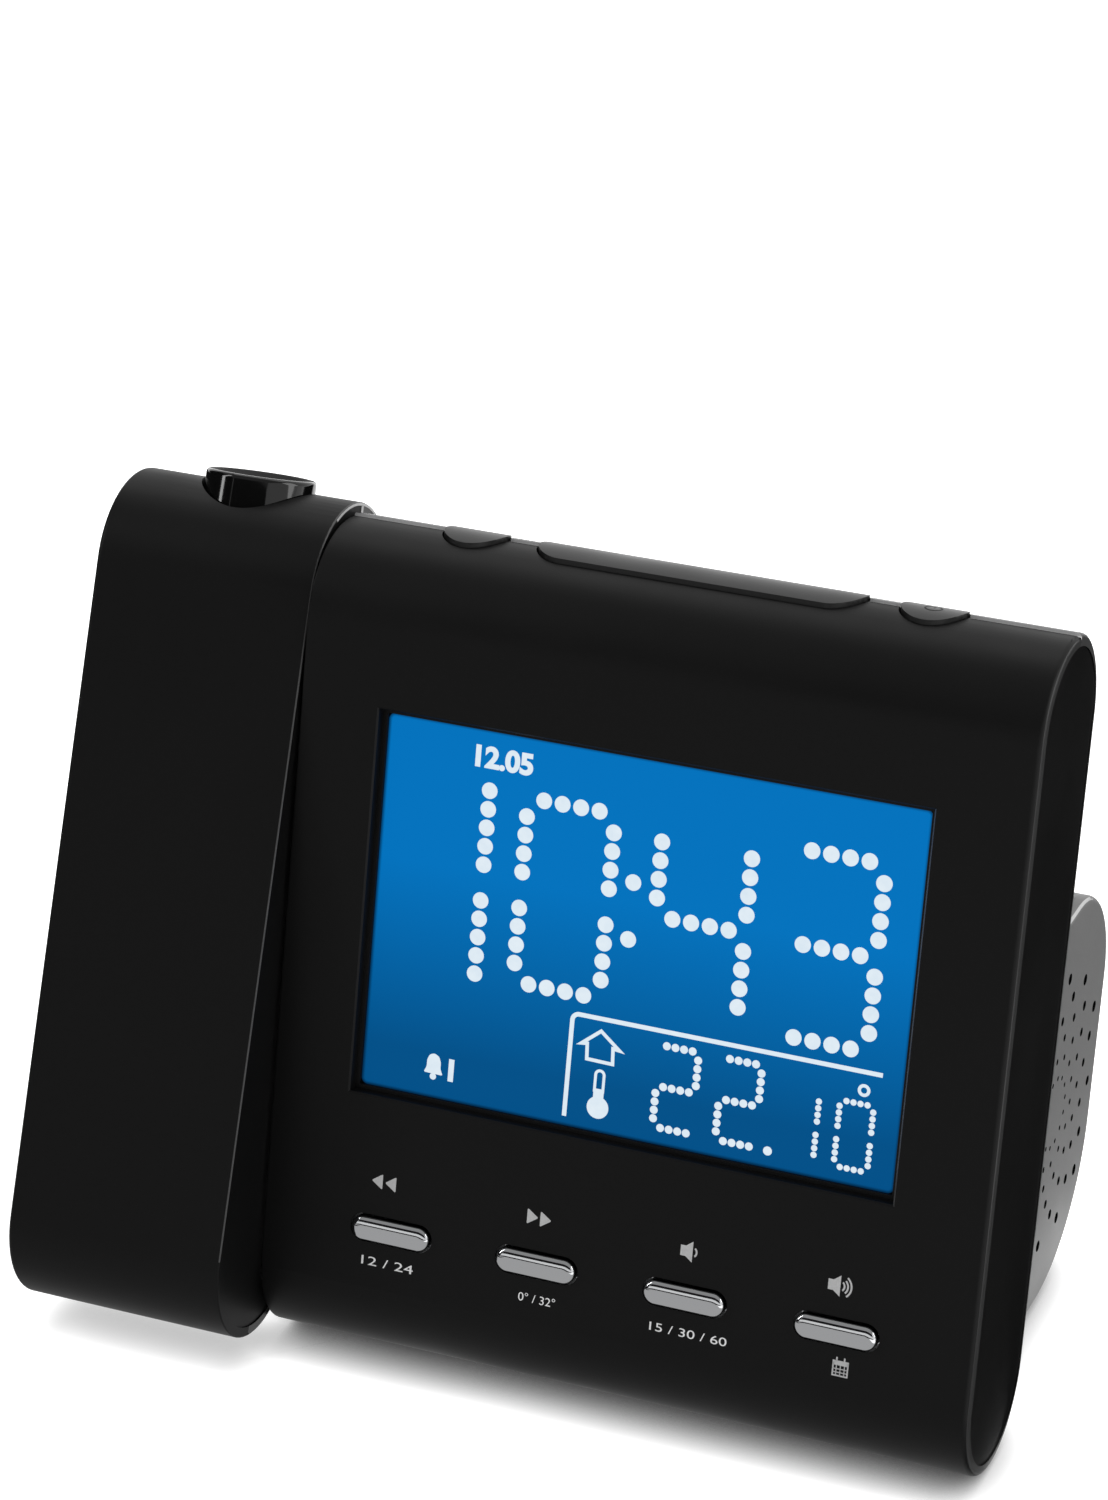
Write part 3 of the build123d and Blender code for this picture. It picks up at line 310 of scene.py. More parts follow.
# Focus ring: ABS moulded against a mirror-polished tool; piano black, with sharp reflections.
gloss_abs = moulded("black ABS, moulded, high gloss", ("#0b0b0b", "#0e0e0e"), 0.08, 1.5, 0.001,
                    spread=0.02, specular=0.35)
# Mask round the display: polycarbonate film, matt black; takes the light from the glass's edge.
mask_film = moulded("black polycarbonate, printed matt", ("#090909", "#0c0c0c"), 0.5, 0.4, 0.004,
                    specular=0.2)
# Hub and its washer: acetal, moulded; dull and slightly waxy.
acetal = moulded("black acetal, moulded", ("#1b1b1b", "#1f1f1f"), 0.5, 0.6, 0.006)
# Lens barrel: ABS, matt inside and out so that it doesn't throw stray light.
barrel_abs = moulded("black ABS, moulded, matt", ("#0e0e0e", "#121212"), 0.62, 0.25, 0.02,
                     specular=0.3)
# Feet: thermoplastic rubber, moulded; matt and soft-looking, with a coarse grip grain.
rubber = moulded("black rubber, moulded", ("#141414", "#1b1b1b"), 0.8, 0.6, 0.04, specular=0.3)
# Switch bodies: nylon, moulded; dull black.
nylon = moulded("black nylon, moulded", ("#171717", "#1c1c1c"), 0.55, 0.4, 0.01)
# Light guide: acrylic, moulded white; bright and smooth.
guide = moulded("white acrylic, moulded", ("#dfe3e6", "#e8ecee"), 0.3, 2.0, 0.004)
# Cell sleeve: PVC film, shrunk on; semi-gloss dark grey.
sleeve = moulded("grey PVC sleeve, shrunk", ("#31363a", "#3a4046"), 0.32, 1.2, 0.01)
# Rims: ABS again, smoother than the faces and painted paler, a painted highlight on the rounded
# rim.
painted_rim_highlight_abs = moulded("black ABS, painted rim highlight", ("#323232", "#3a3a3a"), 0.35, 0.5, 0.004,
                     specular=0.3)
# Sharp edges: the same, painted paler still, so it draws a thin grey line as a painted highlight.
painted_edge_highlight_abs = moulded("black ABS, painted edge highlight", ("#3c3c3c", "#464646"), 0.35, 0.5, 0.004, specular=0.4)
# Pale lines: painted highlights, nearly white, on edges that catch the light.
painted_white_highlight_abs = moulded("ABS, painted white highlight", ("#c4c4c4", "#d2d2d2"), 0.25, 0.5, 0.002)
# Gaps between mouldings: painted shade, ABS as black as the clock gets.
painted_gap_shade_abs = moulded("black ABS, painted gap shade", ("#020202", "#030303"), 0.7, 0.5, 0.01, specular=0.05)
print("plastics:", len(bpy.data.materials))

# %% [markdown]
# The rest of the materials are metals, a circuit board, paper, ferrite, glass-clear acrylic and
# red epoxy. A metal keeps the default IOR, and its look comes from its colour and roughness.

# %% Metals
def plated(name, colour, roughness, grain_mm, depth_mm, stretch=(1, 1, 1)):
    """A bare or plated metal with a fine grain, drawn out along one axis where it is drawn."""
    material, tree = new_tree(name)
    place = add(tree, "ShaderNodeTexCoord").outputs["Object"]
    drawn = add(tree, "ShaderNodeMapping", {"Scale": stretch}, {"Vector": place}).outputs["Vector"]
    grain = add(tree, "ShaderNodeTexNoise", {"Scale": lattice(grain_mm), "Detail": 3.0},
                {"Vector": drawn})
    rough = add(tree, "ShaderNodeMapRange", {"To Min": roughness * 0.7, "To Max": roughness * 1.4},
                {"Value": grain.outputs["Fac"]})
    bump = add(tree, "ShaderNodeBump", {"Strength": 1.0, "Distance": depth_mm * mm},
               {"Height": grain.outputs["Fac"]})
    skin = add(tree, "ShaderNodeBsdfPrincipled", {"Base Color": linear(colour), "Metallic": 1.0},
               {"Roughness": rough.outputs["Result"], "Normal": bump.outputs["Normal"]})
    add(tree, "ShaderNodeOutputMaterial", links={"Surface": skin.outputs[0]})
    return material


# Keys: chrome plated on ABS; a bright cold mirror with the faint unevenness of plating on plastic.
chrome = plated("chrome, plated on ABS", "#cdced0", 0.06, 2.5, 0.004)
# Screws: zinc plated steel; soft, slightly blue silver.
zinc = plated("zinc, plated on steel", "#a9adb2", 0.32, 0.5, 0.01)
# Contacts: nickel plated spring steel, drawn wire and strip; warmer and brighter than zinc.
nickel = plated("nickel, plated on spring steel", "#c3bfb4", 0.22, 0.6, 0.006, (1, 1, 0.2))
# Magnet: its steel pot is zinc plated as the screws are, and the speaker's frame is pressed steel.
pressed = plated("steel, pressed and oiled", "#6e7073", 0.4, 0.8, 0.01)
print("metals ready")

# %% Board, paper, ferrite, acrylic and epoxy
# Board: glass epoxy laminate under a green solder mask; its weave shows faintly, 0.5 mm a thread.
board, tree = new_tree("glass epoxy laminate, green mask")
thread_mm, waves_per_unit = 0.5, 20  # a Wave texture draws 20 waves over 1 / Scale
place = add(tree, "ShaderNodeTexCoord").outputs["Object"]
weave = add(tree, "ShaderNodeTexWave",
            {"Scale": lattice(thread_mm) / waves_per_unit, "Distortion": 0.5}, {"Vector": place})
tone = add(tree, "ShaderNodeMixRGB", {"Color1": linear("#1d5a30"), "Color2": linear("#226a38")},
           {"Fac": weave.outputs["Fac"]})
skin = add(tree, "ShaderNodeBsdfPrincipled", {"Roughness": 0.3, "IOR": 1.5},
           {"Base Color": tone.outputs["Color"]})
add(tree, "ShaderNodeOutputMaterial", links={"Surface": skin.outputs[0]})

# Cone: pressed paper pulp; dull black with short fibres, about 0.3 mm wide.
pulp, tree = new_tree("black paper pulp, pressed")
place = add(tree, "ShaderNodeTexCoord").outputs["Object"]
fibre = add(tree, "ShaderNodeTexNoise", {"Scale": lattice(0.3), "Detail": 4.0}, {"Vector": place})
tone = add(tree, "ShaderNodeMixRGB", {"Color1": linear("#141414"), "Color2": linear("#202020")},
           {"Fac": fibre.outputs["Fac"]})
bump = add(tree, "ShaderNodeBump", {"Strength": 1.0, "Distance": 0.04 * mm},
           {"Height": fibre.outputs["Fac"]})
skin = add(tree, "ShaderNodeBsdfPrincipled", {"Roughness": 0.85},
           {"Base Color": tone.outputs["Color"], "Normal": bump.outputs["Normal"]})
add(tree, "ShaderNodeOutputMaterial", links={"Surface": skin.outputs[0]})

# Aerial rod: sintered ferrite, ground; grey-black with a fine dull grain.
ferrite = moulded("ferrite, sintered and ground", ("#2a2728", "#343031"), 0.6, 0.4, 0.02)

# Lens: acrylic, moulded and polished; clear as glass, with sharp bright reflections.
acrylic, tree = new_tree("clear acrylic, moulded and polished")
place = add(tree, "ShaderNodeTexCoord").outputs["Object"]
haze = add(tree, "ShaderNodeTexNoise", {"Scale": lattice(6.0)}, {"Vector": place})
rough = add(tree, "ShaderNodeMapRange", {"To Min": 0.01, "To Max": 0.05},
            {"Value": haze.outputs["Fac"]})
skin = add(tree, "ShaderNodeBsdfPrincipled",
           {"Base Color": linear("#f4f6fa"), "IOR": 1.49, "Transmission Weight": 1.0},
           {"Roughness": rough.outputs["Result"]})
add(tree, "ShaderNodeOutputMaterial", links={"Surface": skin.outputs[0]})

# Lamp of the projector: red epoxy, cast; deep ruby, lit a little from inside.
epoxy, tree = new_tree("red epoxy, cast")
place = add(tree, "ShaderNodeTexCoord").outputs["Object"]
cloud = add(tree, "ShaderNodeTexNoise", {"Scale": lattice(3.0)}, {"Vector": place})
tone = add(tree, "ShaderNodeMixRGB", {"Color1": linear("#c0160e"), "Color2": linear("#d8281c")},
           {"Fac": cloud.outputs["Fac"]})
skin = add(tree, "ShaderNodeBsdfPrincipled",
           {"Roughness": 0.1, "IOR": 1.55, "Transmission Weight": 0.4,
            "Emission Color": linear("#ff2a1a"), "Emission Strength": 1.5},
           {"Base Color": tone.outputs["Color"]})
add(tree, "ShaderNodeOutputMaterial", links={"Surface": skin.outputs[0]})
print("materials:", len(bpy.data.materials))

# %% [markdown]
# The display is a blue negative liquid crystal panel, lit from behind: the ground glows blue,
# brighter at the top, and the marks glow nearly white. The ground's blue follows the height on
# the panel, and it darkens by a breath within a millimetre of its edges, where the light guide
# ends under the mask.

# %% Display glass and marks
display_centre = Vector((19.85, 0, 68.5)) * mm  # of the lit area, on the upright slab
display_size = Vector((98.5, 0, 67.2)) * mm
corner = 1.2 * mm  # the radius of the lit area's corners
rim_fall = 0.5 * mm  # from here to the corner radius the edge darkens
upright = case_frame.inverted()
glass, tree = new_tree("liquid crystal panel, blue negative")
place = add(tree, "ShaderNodeTexCoord").outputs["Object"]
flat = add(tree, "ShaderNodeMapping",
           {"Location": upright.translation - display_centre, "Rotation": upright.to_euler()},
           {"Vector": place}).outputs["Vector"]
parts = add(tree, "ShaderNodeSeparateXYZ", links={0: flat})
height = add(tree, "ShaderNodeMapRange",
             {"From Min": -display_size.z / 2, "From Max": display_size.z / 2},
             {"Value": parts.outputs["Z"]})
ground = add(tree, "ShaderNodeValToRGB", links={"Fac": height.outputs["Result"]})
stops = ground.color_ramp.elements
stops[0].position, stops[0].color = 0.12, linear("#005088")
stops[1].position, stops[1].color = 0.62, linear("#0072bd")
side = add(tree, "ShaderNodeVectorMath", links={0: flat}, operation="ABSOLUTE")
inner_corner = (display_size.x / 2 - corner, 1.0, display_size.z / 2 - corner)
past = add(tree, "ShaderNodeVectorMath", {1: inner_corner}, {0: side.outputs[0]},
           operation="SUBTRACT")
past = add(tree, "ShaderNodeVectorMath", {1: (0, 0, 0)}, {0: past.outputs[0]}, operation="MAXIMUM")
past = add(tree, "ShaderNodeVectorMath", links={0: past.outputs[0]}, operation="LENGTH")
rim = add(tree, "ShaderNodeMapRange",
          {"From Min": rim_fall, "From Max": corner, "To Min": 1.0, "To Max": 0.3},
          {"Value": past.outputs["Value"]}, interpolation_type="SMOOTHSTEP")
lit = add(tree, "ShaderNodeMath", {1: corner}, {0: past.outputs["Value"]}, operation="LESS_THAN")
glow = add(tree, "ShaderNodeMath", links={0: rim.outputs["Result"], 1: lit.outputs[0]},
           operation="MULTIPLY")
skin = add(tree, "ShaderNodeBsdfPrincipled",
           {"Base Color": linear("#000a14"), "Roughness": 0.35, "Specular IOR Level": 0.04},
           {"Emission Color": ground.outputs["Color"], "Emission Strength": glow.outputs[0]})
add(tree, "ShaderNodeOutputMaterial", links={"Surface": skin.outputs[0]})

marks, tree = new_tree("liquid crystal marks, lit white")
place = add(tree, "ShaderNodeTexCoord").outputs["Object"]
cloud = add(tree, "ShaderNodeTexNoise", {"Scale": lattice(1.5)}, {"Vector": place})
tone = add(tree, "ShaderNodeMixRGB", {"Color1": linear("#d3e2ee"), "Color2": linear("#e6f0f6")},
           {"Fac": cloud.outputs["Fac"]})
skin = add(tree, "ShaderNodeBsdfPrincipled",
           {"Base Color": linear("#101820"), "Roughness": 0.4, "Specular IOR Level": 0.15,
            "Emission Strength": 1.0}, {"Emission Color": tone.outputs["Color"]})
add(tree, "ShaderNodeOutputMaterial", links={"Surface": skin.outputs[0]})

# Printed symbols: pad-printed ink, light grey, matt and a hair thick, with slightly uneven cover.
ink = moulded("light grey ink, pad printed", ("#bdbdbd", "#cfcfcf"), 0.55, 0.4, 0.004)
# Printed figures: the same ink in white, because their strokes are a fifth of a millimetre wide.
white_ink = moulded("white ink, pad printed", ("#f0f0f0", "#fafafa"), 0.55, 0.4, 0.004)
# Sign on the power button: painted shade, black on black, for the shade in a sign sunk into the
# button.
sunk_sign_shade = moulded("black, painted shade of a sunk sign", ("#050505", "#080808"), 0.5, 0.4, 0.004, specular=0.1)
print("lit area", [round(v / mm, 1) for v in display_size], "mm")

# %% [markdown]
# Every node of the CAD gets one of these materials, also the ones inside the case, which show
# when the battery door is open or the arm is turned.

# %% Give every CAD node its material
finished = [
    (case_abs, "front_shell arm_front_shell"),
    (rear_abs, "rear_shell arm_rear_shell battery_door"),
    (cap_abs, "right_end_cap left_end_cap arm_outer_cap arm_inner_cap battery_tray"),
    (button_abs, "snooze_bar band_button power_button"),
    (mask_film, "lcd_bezel projection_panel"),
    (glass, "lcd_panel"),
    (guide, "lcd_backlight"),
    (board, "main_board front_key_board top_key_board led_board"),
    (nylon, "front_key_switches top_key_switches power_inlet"),
    (grey_abs, "speaker_housing speaker_grille"),
    (pressed, "speaker_frame"),
    (pulp, "speaker_cone"),
    (zinc, "speaker_magnet case_screws arm_screws hub_clip"),
    (sleeve, "battery_cells"),
    (nickel, "battery_contacts"),
    (ferrite, "ferrite_rod"),
    (rubber, "rubber_feet"),
    (chrome, "key_rewind key_forward key_volume_down key_volume_up"),
    (gloss_abs, "focus_ring"),
    (barrel_abs, "lens_barrel projector_chassis"),
    (acrylic, "projection_lens condenser_lens"),
    (epoxy, "projector_led"),
    (acetal, "swivel_hub friction_washer"),
]
finishes = {name: material for material, names in finished for name in names.split()}
for name, node in nodes.items():
    node.data.materials.clear()
    node.data.materials.append(finishes[name])
print("without a finish:", sorted(set(nodes) - set(finishes)))

# %% [markdown]
# A moulded edge is never knife-sharp: the tool leaves it with a radius of a few tenths of a
# millimetre, and that small round is what draws the thin bright line along an edge. The solids
# have their large rounds only, so each shell is copied, its triangles are merged back into
# plain faces, and a Bevel modifier rounds the edges that are left. The copy then stands for the
# solid.

# %% Soften the shells' edges
weld = 0.0005 * mm  # corners closer than this are one corner
flat_angle = radians(0.6)  # triangles that meet at less are one face
sharp_angle = radians(35)  # edges that meet at more are rounded


def only(*pieces):
    """Object mode, with just these pieces selected and the first one active."""
    if bpy.context.mode != "OBJECT":
        bpy.ops.object.mode_set(mode="OBJECT")
    bpy.ops.object.select_all(action="DESELECT")
    for piece in pieces:
        piece.select_set(True)
    bpy.context.view_layer.objects.active = pieces[0]


def softened(name, radius_mm):
    """A copy of a node with its sharp edges rounded; it replaces the node."""
    source = nodes[name]
    piece = bpy.data.objects.new("dressed_" + name, source.data.copy())
    scene.collection.objects.link(piece)
    only(piece)
    bpy.ops.object.mode_set(mode="EDIT")
    bpy.ops.mesh.select_all(action="SELECT")
    bpy.ops.mesh.remove_doubles(threshold=weld)
    bpy.ops.mesh.dissolve_limited(angle_limit=flat_angle)
    bpy.ops.object.mode_set(mode="OBJECT")
    bevel = piece.modifiers.new("soft edges", "BEVEL")
    bevel.width = radius_mm * mm
    bevel.segments = 2
    bevel.limit_method = "ANGLE"
    bevel.angle_limit = sharp_angle
    bpy.ops.object.modifier_apply(modifier=bevel.name)
    bpy.ops.object.shade_smooth_by_angle(angle=sharp_angle)
    weighted = piece.modifiers.new("flat faces stay flat", "WEIGHTED_NORMAL")
    weighted.keep_sharp = True
    bpy.ops.object.modifier_apply(modifier=weighted.name)
    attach(piece, source["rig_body"])
    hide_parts(name)
    return piece


edge_radii = {
    "front_shell": 0.3, "rear_shell": 0.3, "right_end_cap": 0.25, "left_end_cap": 0.25,
    "arm_front_shell": 0.3, "arm_rear_shell": 0.3, "arm_outer_cap": 0.25, "arm_inner_cap": 0.25,
    "snooze_bar": 0.3, "band_button": 0.3, "power_button": 0.3, "speaker_housing": 0.35,
    "speaker_grille": 0.25, "battery_door": 0.25, "power_inlet": 0.15, "rubber_feet": 0.2,
    "case_screws": 0.08,
}
dressed = {}
for name, radius in edge_radii.items():
    dressed[name] = softened(name, radius)
    print(name, len(dressed[name].data.polygons), "faces")

# %% [markdown]
# Where two mouldings meet along the top, one always stands a hair higher than the other, and a
# button stands higher again so that a finger finds it. The rear shell's top edge is moved out
# from the slab's upper axis by half a millimetre, which fades out towards the back, and the caps
# of the three top buttons by a third of one.

# %% Raise the rear shell's top edge and the top buttons
parting_rise, lip_rise = 0.28, 0.48  # in mm, right at the parting and on top of the edge's round
lip_round = 0.3
fade_start, fade_length = 6.0, 8.0
button_rise = 0.3


def clamped(value):
    """A value kept between 0 and 1."""
    return min(1.0, max(0.0, value))


def raised(piece, past_radius, rise_at):
    """Moves what lies past a radius out from the slab's upper axis, by rise_at(y), all in mm."""
    back = case_frame.inverted()
    moved = 0
    for vertex in piece.data.vertices:
        at = back @ vertex.co / mm
        out = Vector((0, at.y, at.z - upper_axis_z))
        if out.z > 0 and out.length > past_radius:
            vertex.co = case_frame @ ((at + out.normalized() * rise_at(at.y)) * mm)
            moved += 1
    return moved


def lip(y):
    """How far the rear shell's top edge rises, y mm behind the slab's middle plane."""
    rise = parting_rise + (lip_rise - parting_rise) * clamped((y - parting_y) / lip_round)
    return rise * clamped(1 - (y - fade_start) / fade_length)


print("rear shell, corners raised:", raised(dressed["rear_shell"], 14.5, lip))
for name in ("snooze_bar", "band_button", "power_button"):
    print(name, "corners raised:", raised(dressed[name], 15.5, lambda y: button_rise))

# %% [markdown]
# Thin pale lines along the edges that stick out are painted highlights: the narrow faces of the
# rounded edges take a pale material of their own: the arm's inner edge, the right end's rim, the
# display opening's right edge, the rear shell's top edge and the foot's right edge. The walls of
# the gaps between the shells, and of the grille's holes, take painted shade, the black of deep
# shade.

# %% Painted edge highlights and painted gap shade
def give_faces(piece, place_matrix, material, where):
    """Gives a material to the faces where(place, normal) is true for, measured on the upright
    slab or in place_matrix, in mm; returns the number of faces with a material of their own."""
    back = place_matrix.inverted()
    turn = back.to_3x3()
    piece.data.materials.append(material)
    for face in piece.data.polygons:
        if where(back @ face.center / mm, turn @ face.normal):
            face.material_index = len(piece.data.materials) - 1
    return sum(face.material_index > 0 for face in piece.data.polygons)


def foot_edge(at, n):
    """The round on the foot's right end, on top, where a highlight is painted."""
    return at.x > 75.0 and 0.5 < n.x < 0.85 and at.z > 62 and at.y < 48


def in_a_hole(at, n):
    """The walls of the sound holes, which lie within 27 mm of the speaker's axis, where shade is
    painted.
    """
    off_axis = Vector((0, at.y - speaker_y, at.z - speaker_z))
    return n.x < 0.95 and at.y < 55.4 and off_axis.length < 27


case_right = 87.0
speaker_y, speaker_z = 29.2, 38.0
in_place = Matrix.Identity(4)
places = {"arm_front_shell": arm_frame, "front_shell": case_frame, "rear_shell": case_frame}
for what, name, material, where in (
    # painted highlights on the arm's inner edge, the right rim's rear and the opening's right edge
    ("arm's inner edge", "arm_front_shell", painted_edge_highlight_abs,
     lambda at, n: at.x > -45.8 and 0.15 < abs(n.x) < 0.95 and at.z > 18),
    # painted highlight on the right end's front rim
    ("right rim, front", "front_shell", painted_rim_highlight_abs,
     lambda at, n: at.x > case_right - 1.5 and n.x > 0.85),
    ("right rim, rear", "rear_shell", painted_edge_highlight_abs,
     lambda at, n: at.x > case_right - 1.5 and n.x > 0.2 and at.y > 1.35),
    ("opening's right edge", "front_shell", painted_edge_highlight_abs,
     lambda at, n: 68 < at.x < 72 and n.x < -0.3 and n.y < -0.3 and at.y < -13.5),
    # painted shade on the walls of the gaps between the shells
    ("gap, front shell", "front_shell", painted_gap_shade_abs,
     lambda at, n: 0.6 < at.y < parting_y + 0.05 and n.y > 0.08),
    ("gap, rear shell", "rear_shell", painted_gap_shade_abs,
     lambda at, n: at.y < parting_y + 0.02 and n.y < -0.9),
    # painted highlight along the rear shell's top edge
    ("rear shell's top edge", "rear_shell", painted_white_highlight_abs,
     lambda at, n: parting_y + 0.02 < at.y < 1.4 and n.y < -0.05 and at.z > 129),
    ("gap, arm", "arm_front_shell", painted_gap_shade_abs,
     lambda at, n: 0.6 < at.y < parting_y + 0.05 and n.y > 0.3),
    # painted highlights on the foot's and the grille's right edge
    ("foot's edge", "speaker_housing", painted_white_highlight_abs, foot_edge),
    ("grille's edge", "speaker_grille", painted_white_highlight_abs, foot_edge),
    # painted shade on the walls of the grille's holes
    ("grille's holes", "speaker_grille", painted_gap_shade_abs, in_a_hole),
):
    print(what, give_faces(dressed[name], places.get(name, in_place), material, where))

# %% [markdown]
# What the display shows is drawn flat, as on a sheet of paper with x to the right and y up, and
# then laid on the panel. A big digit is a row of round dots. One dot is modelled and copied to
# each place, and all are joined into one piece.

# %% Sheets to draw on
def sheet(depth_mm):
    """Takes a drawing in x and y, facing +Z, to the slab's upright plane at depth_mm."""
    upright_plane = Matrix.Translation((0, depth_mm * mm, 0)) @ Matrix.Rotation(pi / 2, 4, "X")
    return case_frame @ upright_plane


def joined(pieces, name, place, material, thick_mm):
    """Joins flat drawings, gives them thickness, lays them in place and returns the one piece."""
    only(*pieces)
    bpy.ops.object.transform_apply(location=True, rotation=True, scale=True)
    if len(pieces) > 1:
        bpy.ops.object.join()
    drawing = bpy.context.object
    drawing.name = drawing.data.name = name
    bpy.ops.object.mode_set(mode="EDIT")
    bpy.ops.mesh.select_all(action="SELECT")
    bpy.ops.mesh.extrude_region_move(TRANSFORM_OT_translate={"value": (0, 0, thick_mm * mm)})
    bpy.ops.mesh.select_all(action="SELECT")
    bpy.ops.mesh.normals_make_consistent(inside=False)
    bpy.ops.object.mode_set(mode="OBJECT")
    drawing.data.transform(place)
    drawing.data.materials.clear()
    drawing.data.materials.append(material)
    return drawing


def disc(x, y, radius, points=24):
    """A flat disc, in millimetres."""
    bpy.ops.object.select_all(action="DESELECT")
    bpy.ops.mesh.primitive_circle_add(vertices=points, radius=radius * mm, fill_type="NGON",
                                      location=(x * mm, y * mm, 0))
    return bpy.context.object


def bar(x, y, width, height):
    """A flat bar, in millimetres."""
    bpy.ops.object.select_all(action="DESELECT")
    bpy.ops.mesh.primitive_plane_add(size=1, location=(x * mm, y * mm, 0))
    piece = bpy.context.object
    piece.scale = (width * mm, height * mm, 1)
    bpy.ops.object.transform_apply(location=False, rotation=False, scale=True)
    return piece


def copies(model, places):
    """Copies a flat model to each place, in millimetres, each with its own mesh."""
    made = []
    for x, y in places:
        piece = model.copy()
        piece.data = model.data.copy()
        piece.location = (x * mm, y * mm, 0)
        scene.collection.objects.link(piece)
        made.append(piece)
    bpy.data.objects.remove(model)
    return made


print("sheet at the panel:", [round(v, 4) for v in sheet(panel_y).translation])

# %% [markdown]
# The four front keys are pills of ABS with a bright chrome plating. The crown of a real key
# swells gently, and it is this swelling that turns the mirror image of the room into a light
# upper band, a dark line and a grey lower band. One key is modelled from a flat pill: it is
# extruded to the flange, inset and extruded to the wall, and then inset again and again, each
# time a little less steeply. It is copied to the four places.

# %% Chrome keys
flange_radius, half_straight = 3.5, 5.2  # the flange is a pill: two half discs, drawn apart
flange_base = 12.65  # in mm in front of the slab's middle plane
crown_steps = ((0.05, 0.22), (0.1, 0.19), (0.16, 0.15), (0.22, 0.12), (0.28, 0.09), (0.32, 0.06),
               (0.32, 0.035), (0.3, 0.015))  # inwards and outwards, in mm
key_row = [(-20.35, 9.7), (7.25, 9.7), (34.85, 9.7), (62.45, 9.7)]

bpy.ops.object.select_all(action="DESELECT")
bpy.ops.mesh.primitive_circle_add(vertices=48, radius=flange_radius * mm, fill_type="NGON",
                                  rotation=(0, 0, radians(360 / 48 / 2)))
key = bpy.context.object
bpy.ops.object.transform_apply(location=True, rotation=True, scale=True)
for vertex in key.data.vertices:
    vertex.co.x += half_straight * mm if vertex.co.x > 0 else -half_straight * mm
    vertex.co.z = flange_base * mm
bpy.ops.object.mode_set(mode="EDIT")
bpy.ops.mesh.select_mode(type="FACE")
bpy.ops.mesh.select_all(action="SELECT")
bpy.ops.mesh.extrude_region_move(TRANSFORM_OT_translate={"value": (0, 0, 1.0 * mm)})
bpy.ops.mesh.inset(thickness=1.3 * mm, depth=0)
bpy.ops.mesh.extrude_region_move(TRANSFORM_OT_translate={"value": (0, 0, 2.55 * mm)})
for inward, outward in crown_steps:
    bpy.ops.mesh.inset(thickness=inward * mm, depth=outward * mm)
bpy.ops.mesh.select_all(action="SELECT")
bpy.ops.mesh.normals_make_consistent(inside=False)
bpy.ops.object.mode_set(mode="OBJECT")
bpy.ops.object.shade_smooth_by_angle(angle=radians(50))
key_names = ("key_rewind", "key_forward", "key_volume_down", "key_volume_up")
keys = copies(key, key_row)
for name, key in zip(key_names, keys):
    only(key)
    bpy.ops.object.transform_apply(location=True, rotation=True, scale=True)
    key.name = "dressed_" + name
    key.data.transform(sheet(0))
    key.data.materials.append(chrome)
    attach(key, nodes[name]["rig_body"])
    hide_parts(name)
    low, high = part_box(name)
    print(name, "middle x", round((low.x + high.x) / 2 / mm, 2), len(key.data.polygons), "faces")

# %% [markdown]
# The focus ring is a turned shape, so its profile is drawn as a closed outline and spun round the
# lens axis in sixty-four steps. Its lip is rounded, which gives the gloss its thin bright rim, and
# the mouth inside it is matt.

# %% Focus ring
turret = arm_frame @ Matrix.Translation((turret_x * mm, 0, 0))
profile = [(6.26, 122.8), (6.26, 133.7), (8.35, 135.85), (8.6, 136.05), (8.9, 136.1),
           (9.25, 136.05), (9.55, 135.9), (9.72, 135.65), (9.8, 135.3), (9.8, 124.6),
           (11.2, 124.6), (11.3, 124.5), (11.3, 122.8)]  # radius and height, in mm
bpy.ops.object.select_all(action="DESELECT")
bpy.ops.mesh.primitive_circle_add(vertices=len(profile), radius=mm, fill_type="NOTHING")
focus_ring = bpy.context.object
focus_ring.name = "dressed_focus_ring"
for vertex, (radius, z) in zip(focus_ring.data.vertices, profile):
    vertex.co = (radius * mm, 0, z * mm)
bpy.ops.object.mode_set(mode="EDIT")
bpy.ops.mesh.select_all(action="SELECT")
bpy.ops.mesh.spin(steps=64, angle=2 * pi, center=(0, 0, 0), axis=(0, 0, 1))
bpy.ops.mesh.select_all(action="SELECT")
bpy.ops.mesh.remove_doubles(threshold=0.002 * mm)
bpy.ops.mesh.normals_make_consistent(inside=False)
bpy.ops.object.mode_set(mode="OBJECT")
bpy.ops.object.shade_smooth_by_angle(angle=radians(40))
focus_ring.data.transform(turret)
focus_ring.data.materials.append(gloss_abs)
print("matt mouth", give_faces(focus_ring, turret, barrel_abs,
                           lambda at, n: n.x * at.x + n.y * at.y < -0.5))
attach(focus_ring, nodes["focus_ring"]["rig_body"])
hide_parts("focus_ring")
low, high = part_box("focus_ring")
print("ring of the CAD:", [round(v / mm, 1) for v in (*low, *high)])
corners = [vertex.co for vertex in focus_ring.data.vertices]
print("ring of the scene:", [round(limit(corner[i] for corner in corners) / mm, 1)
                             for limit in (min, max) for i in range(3)])

# %% [markdown]
# The time is written in big round dots, 3.3 mm apart, on a grid of eleven rows. The dots lie
# 0.02 mm in front of the panel and are 0.05 mm thick.

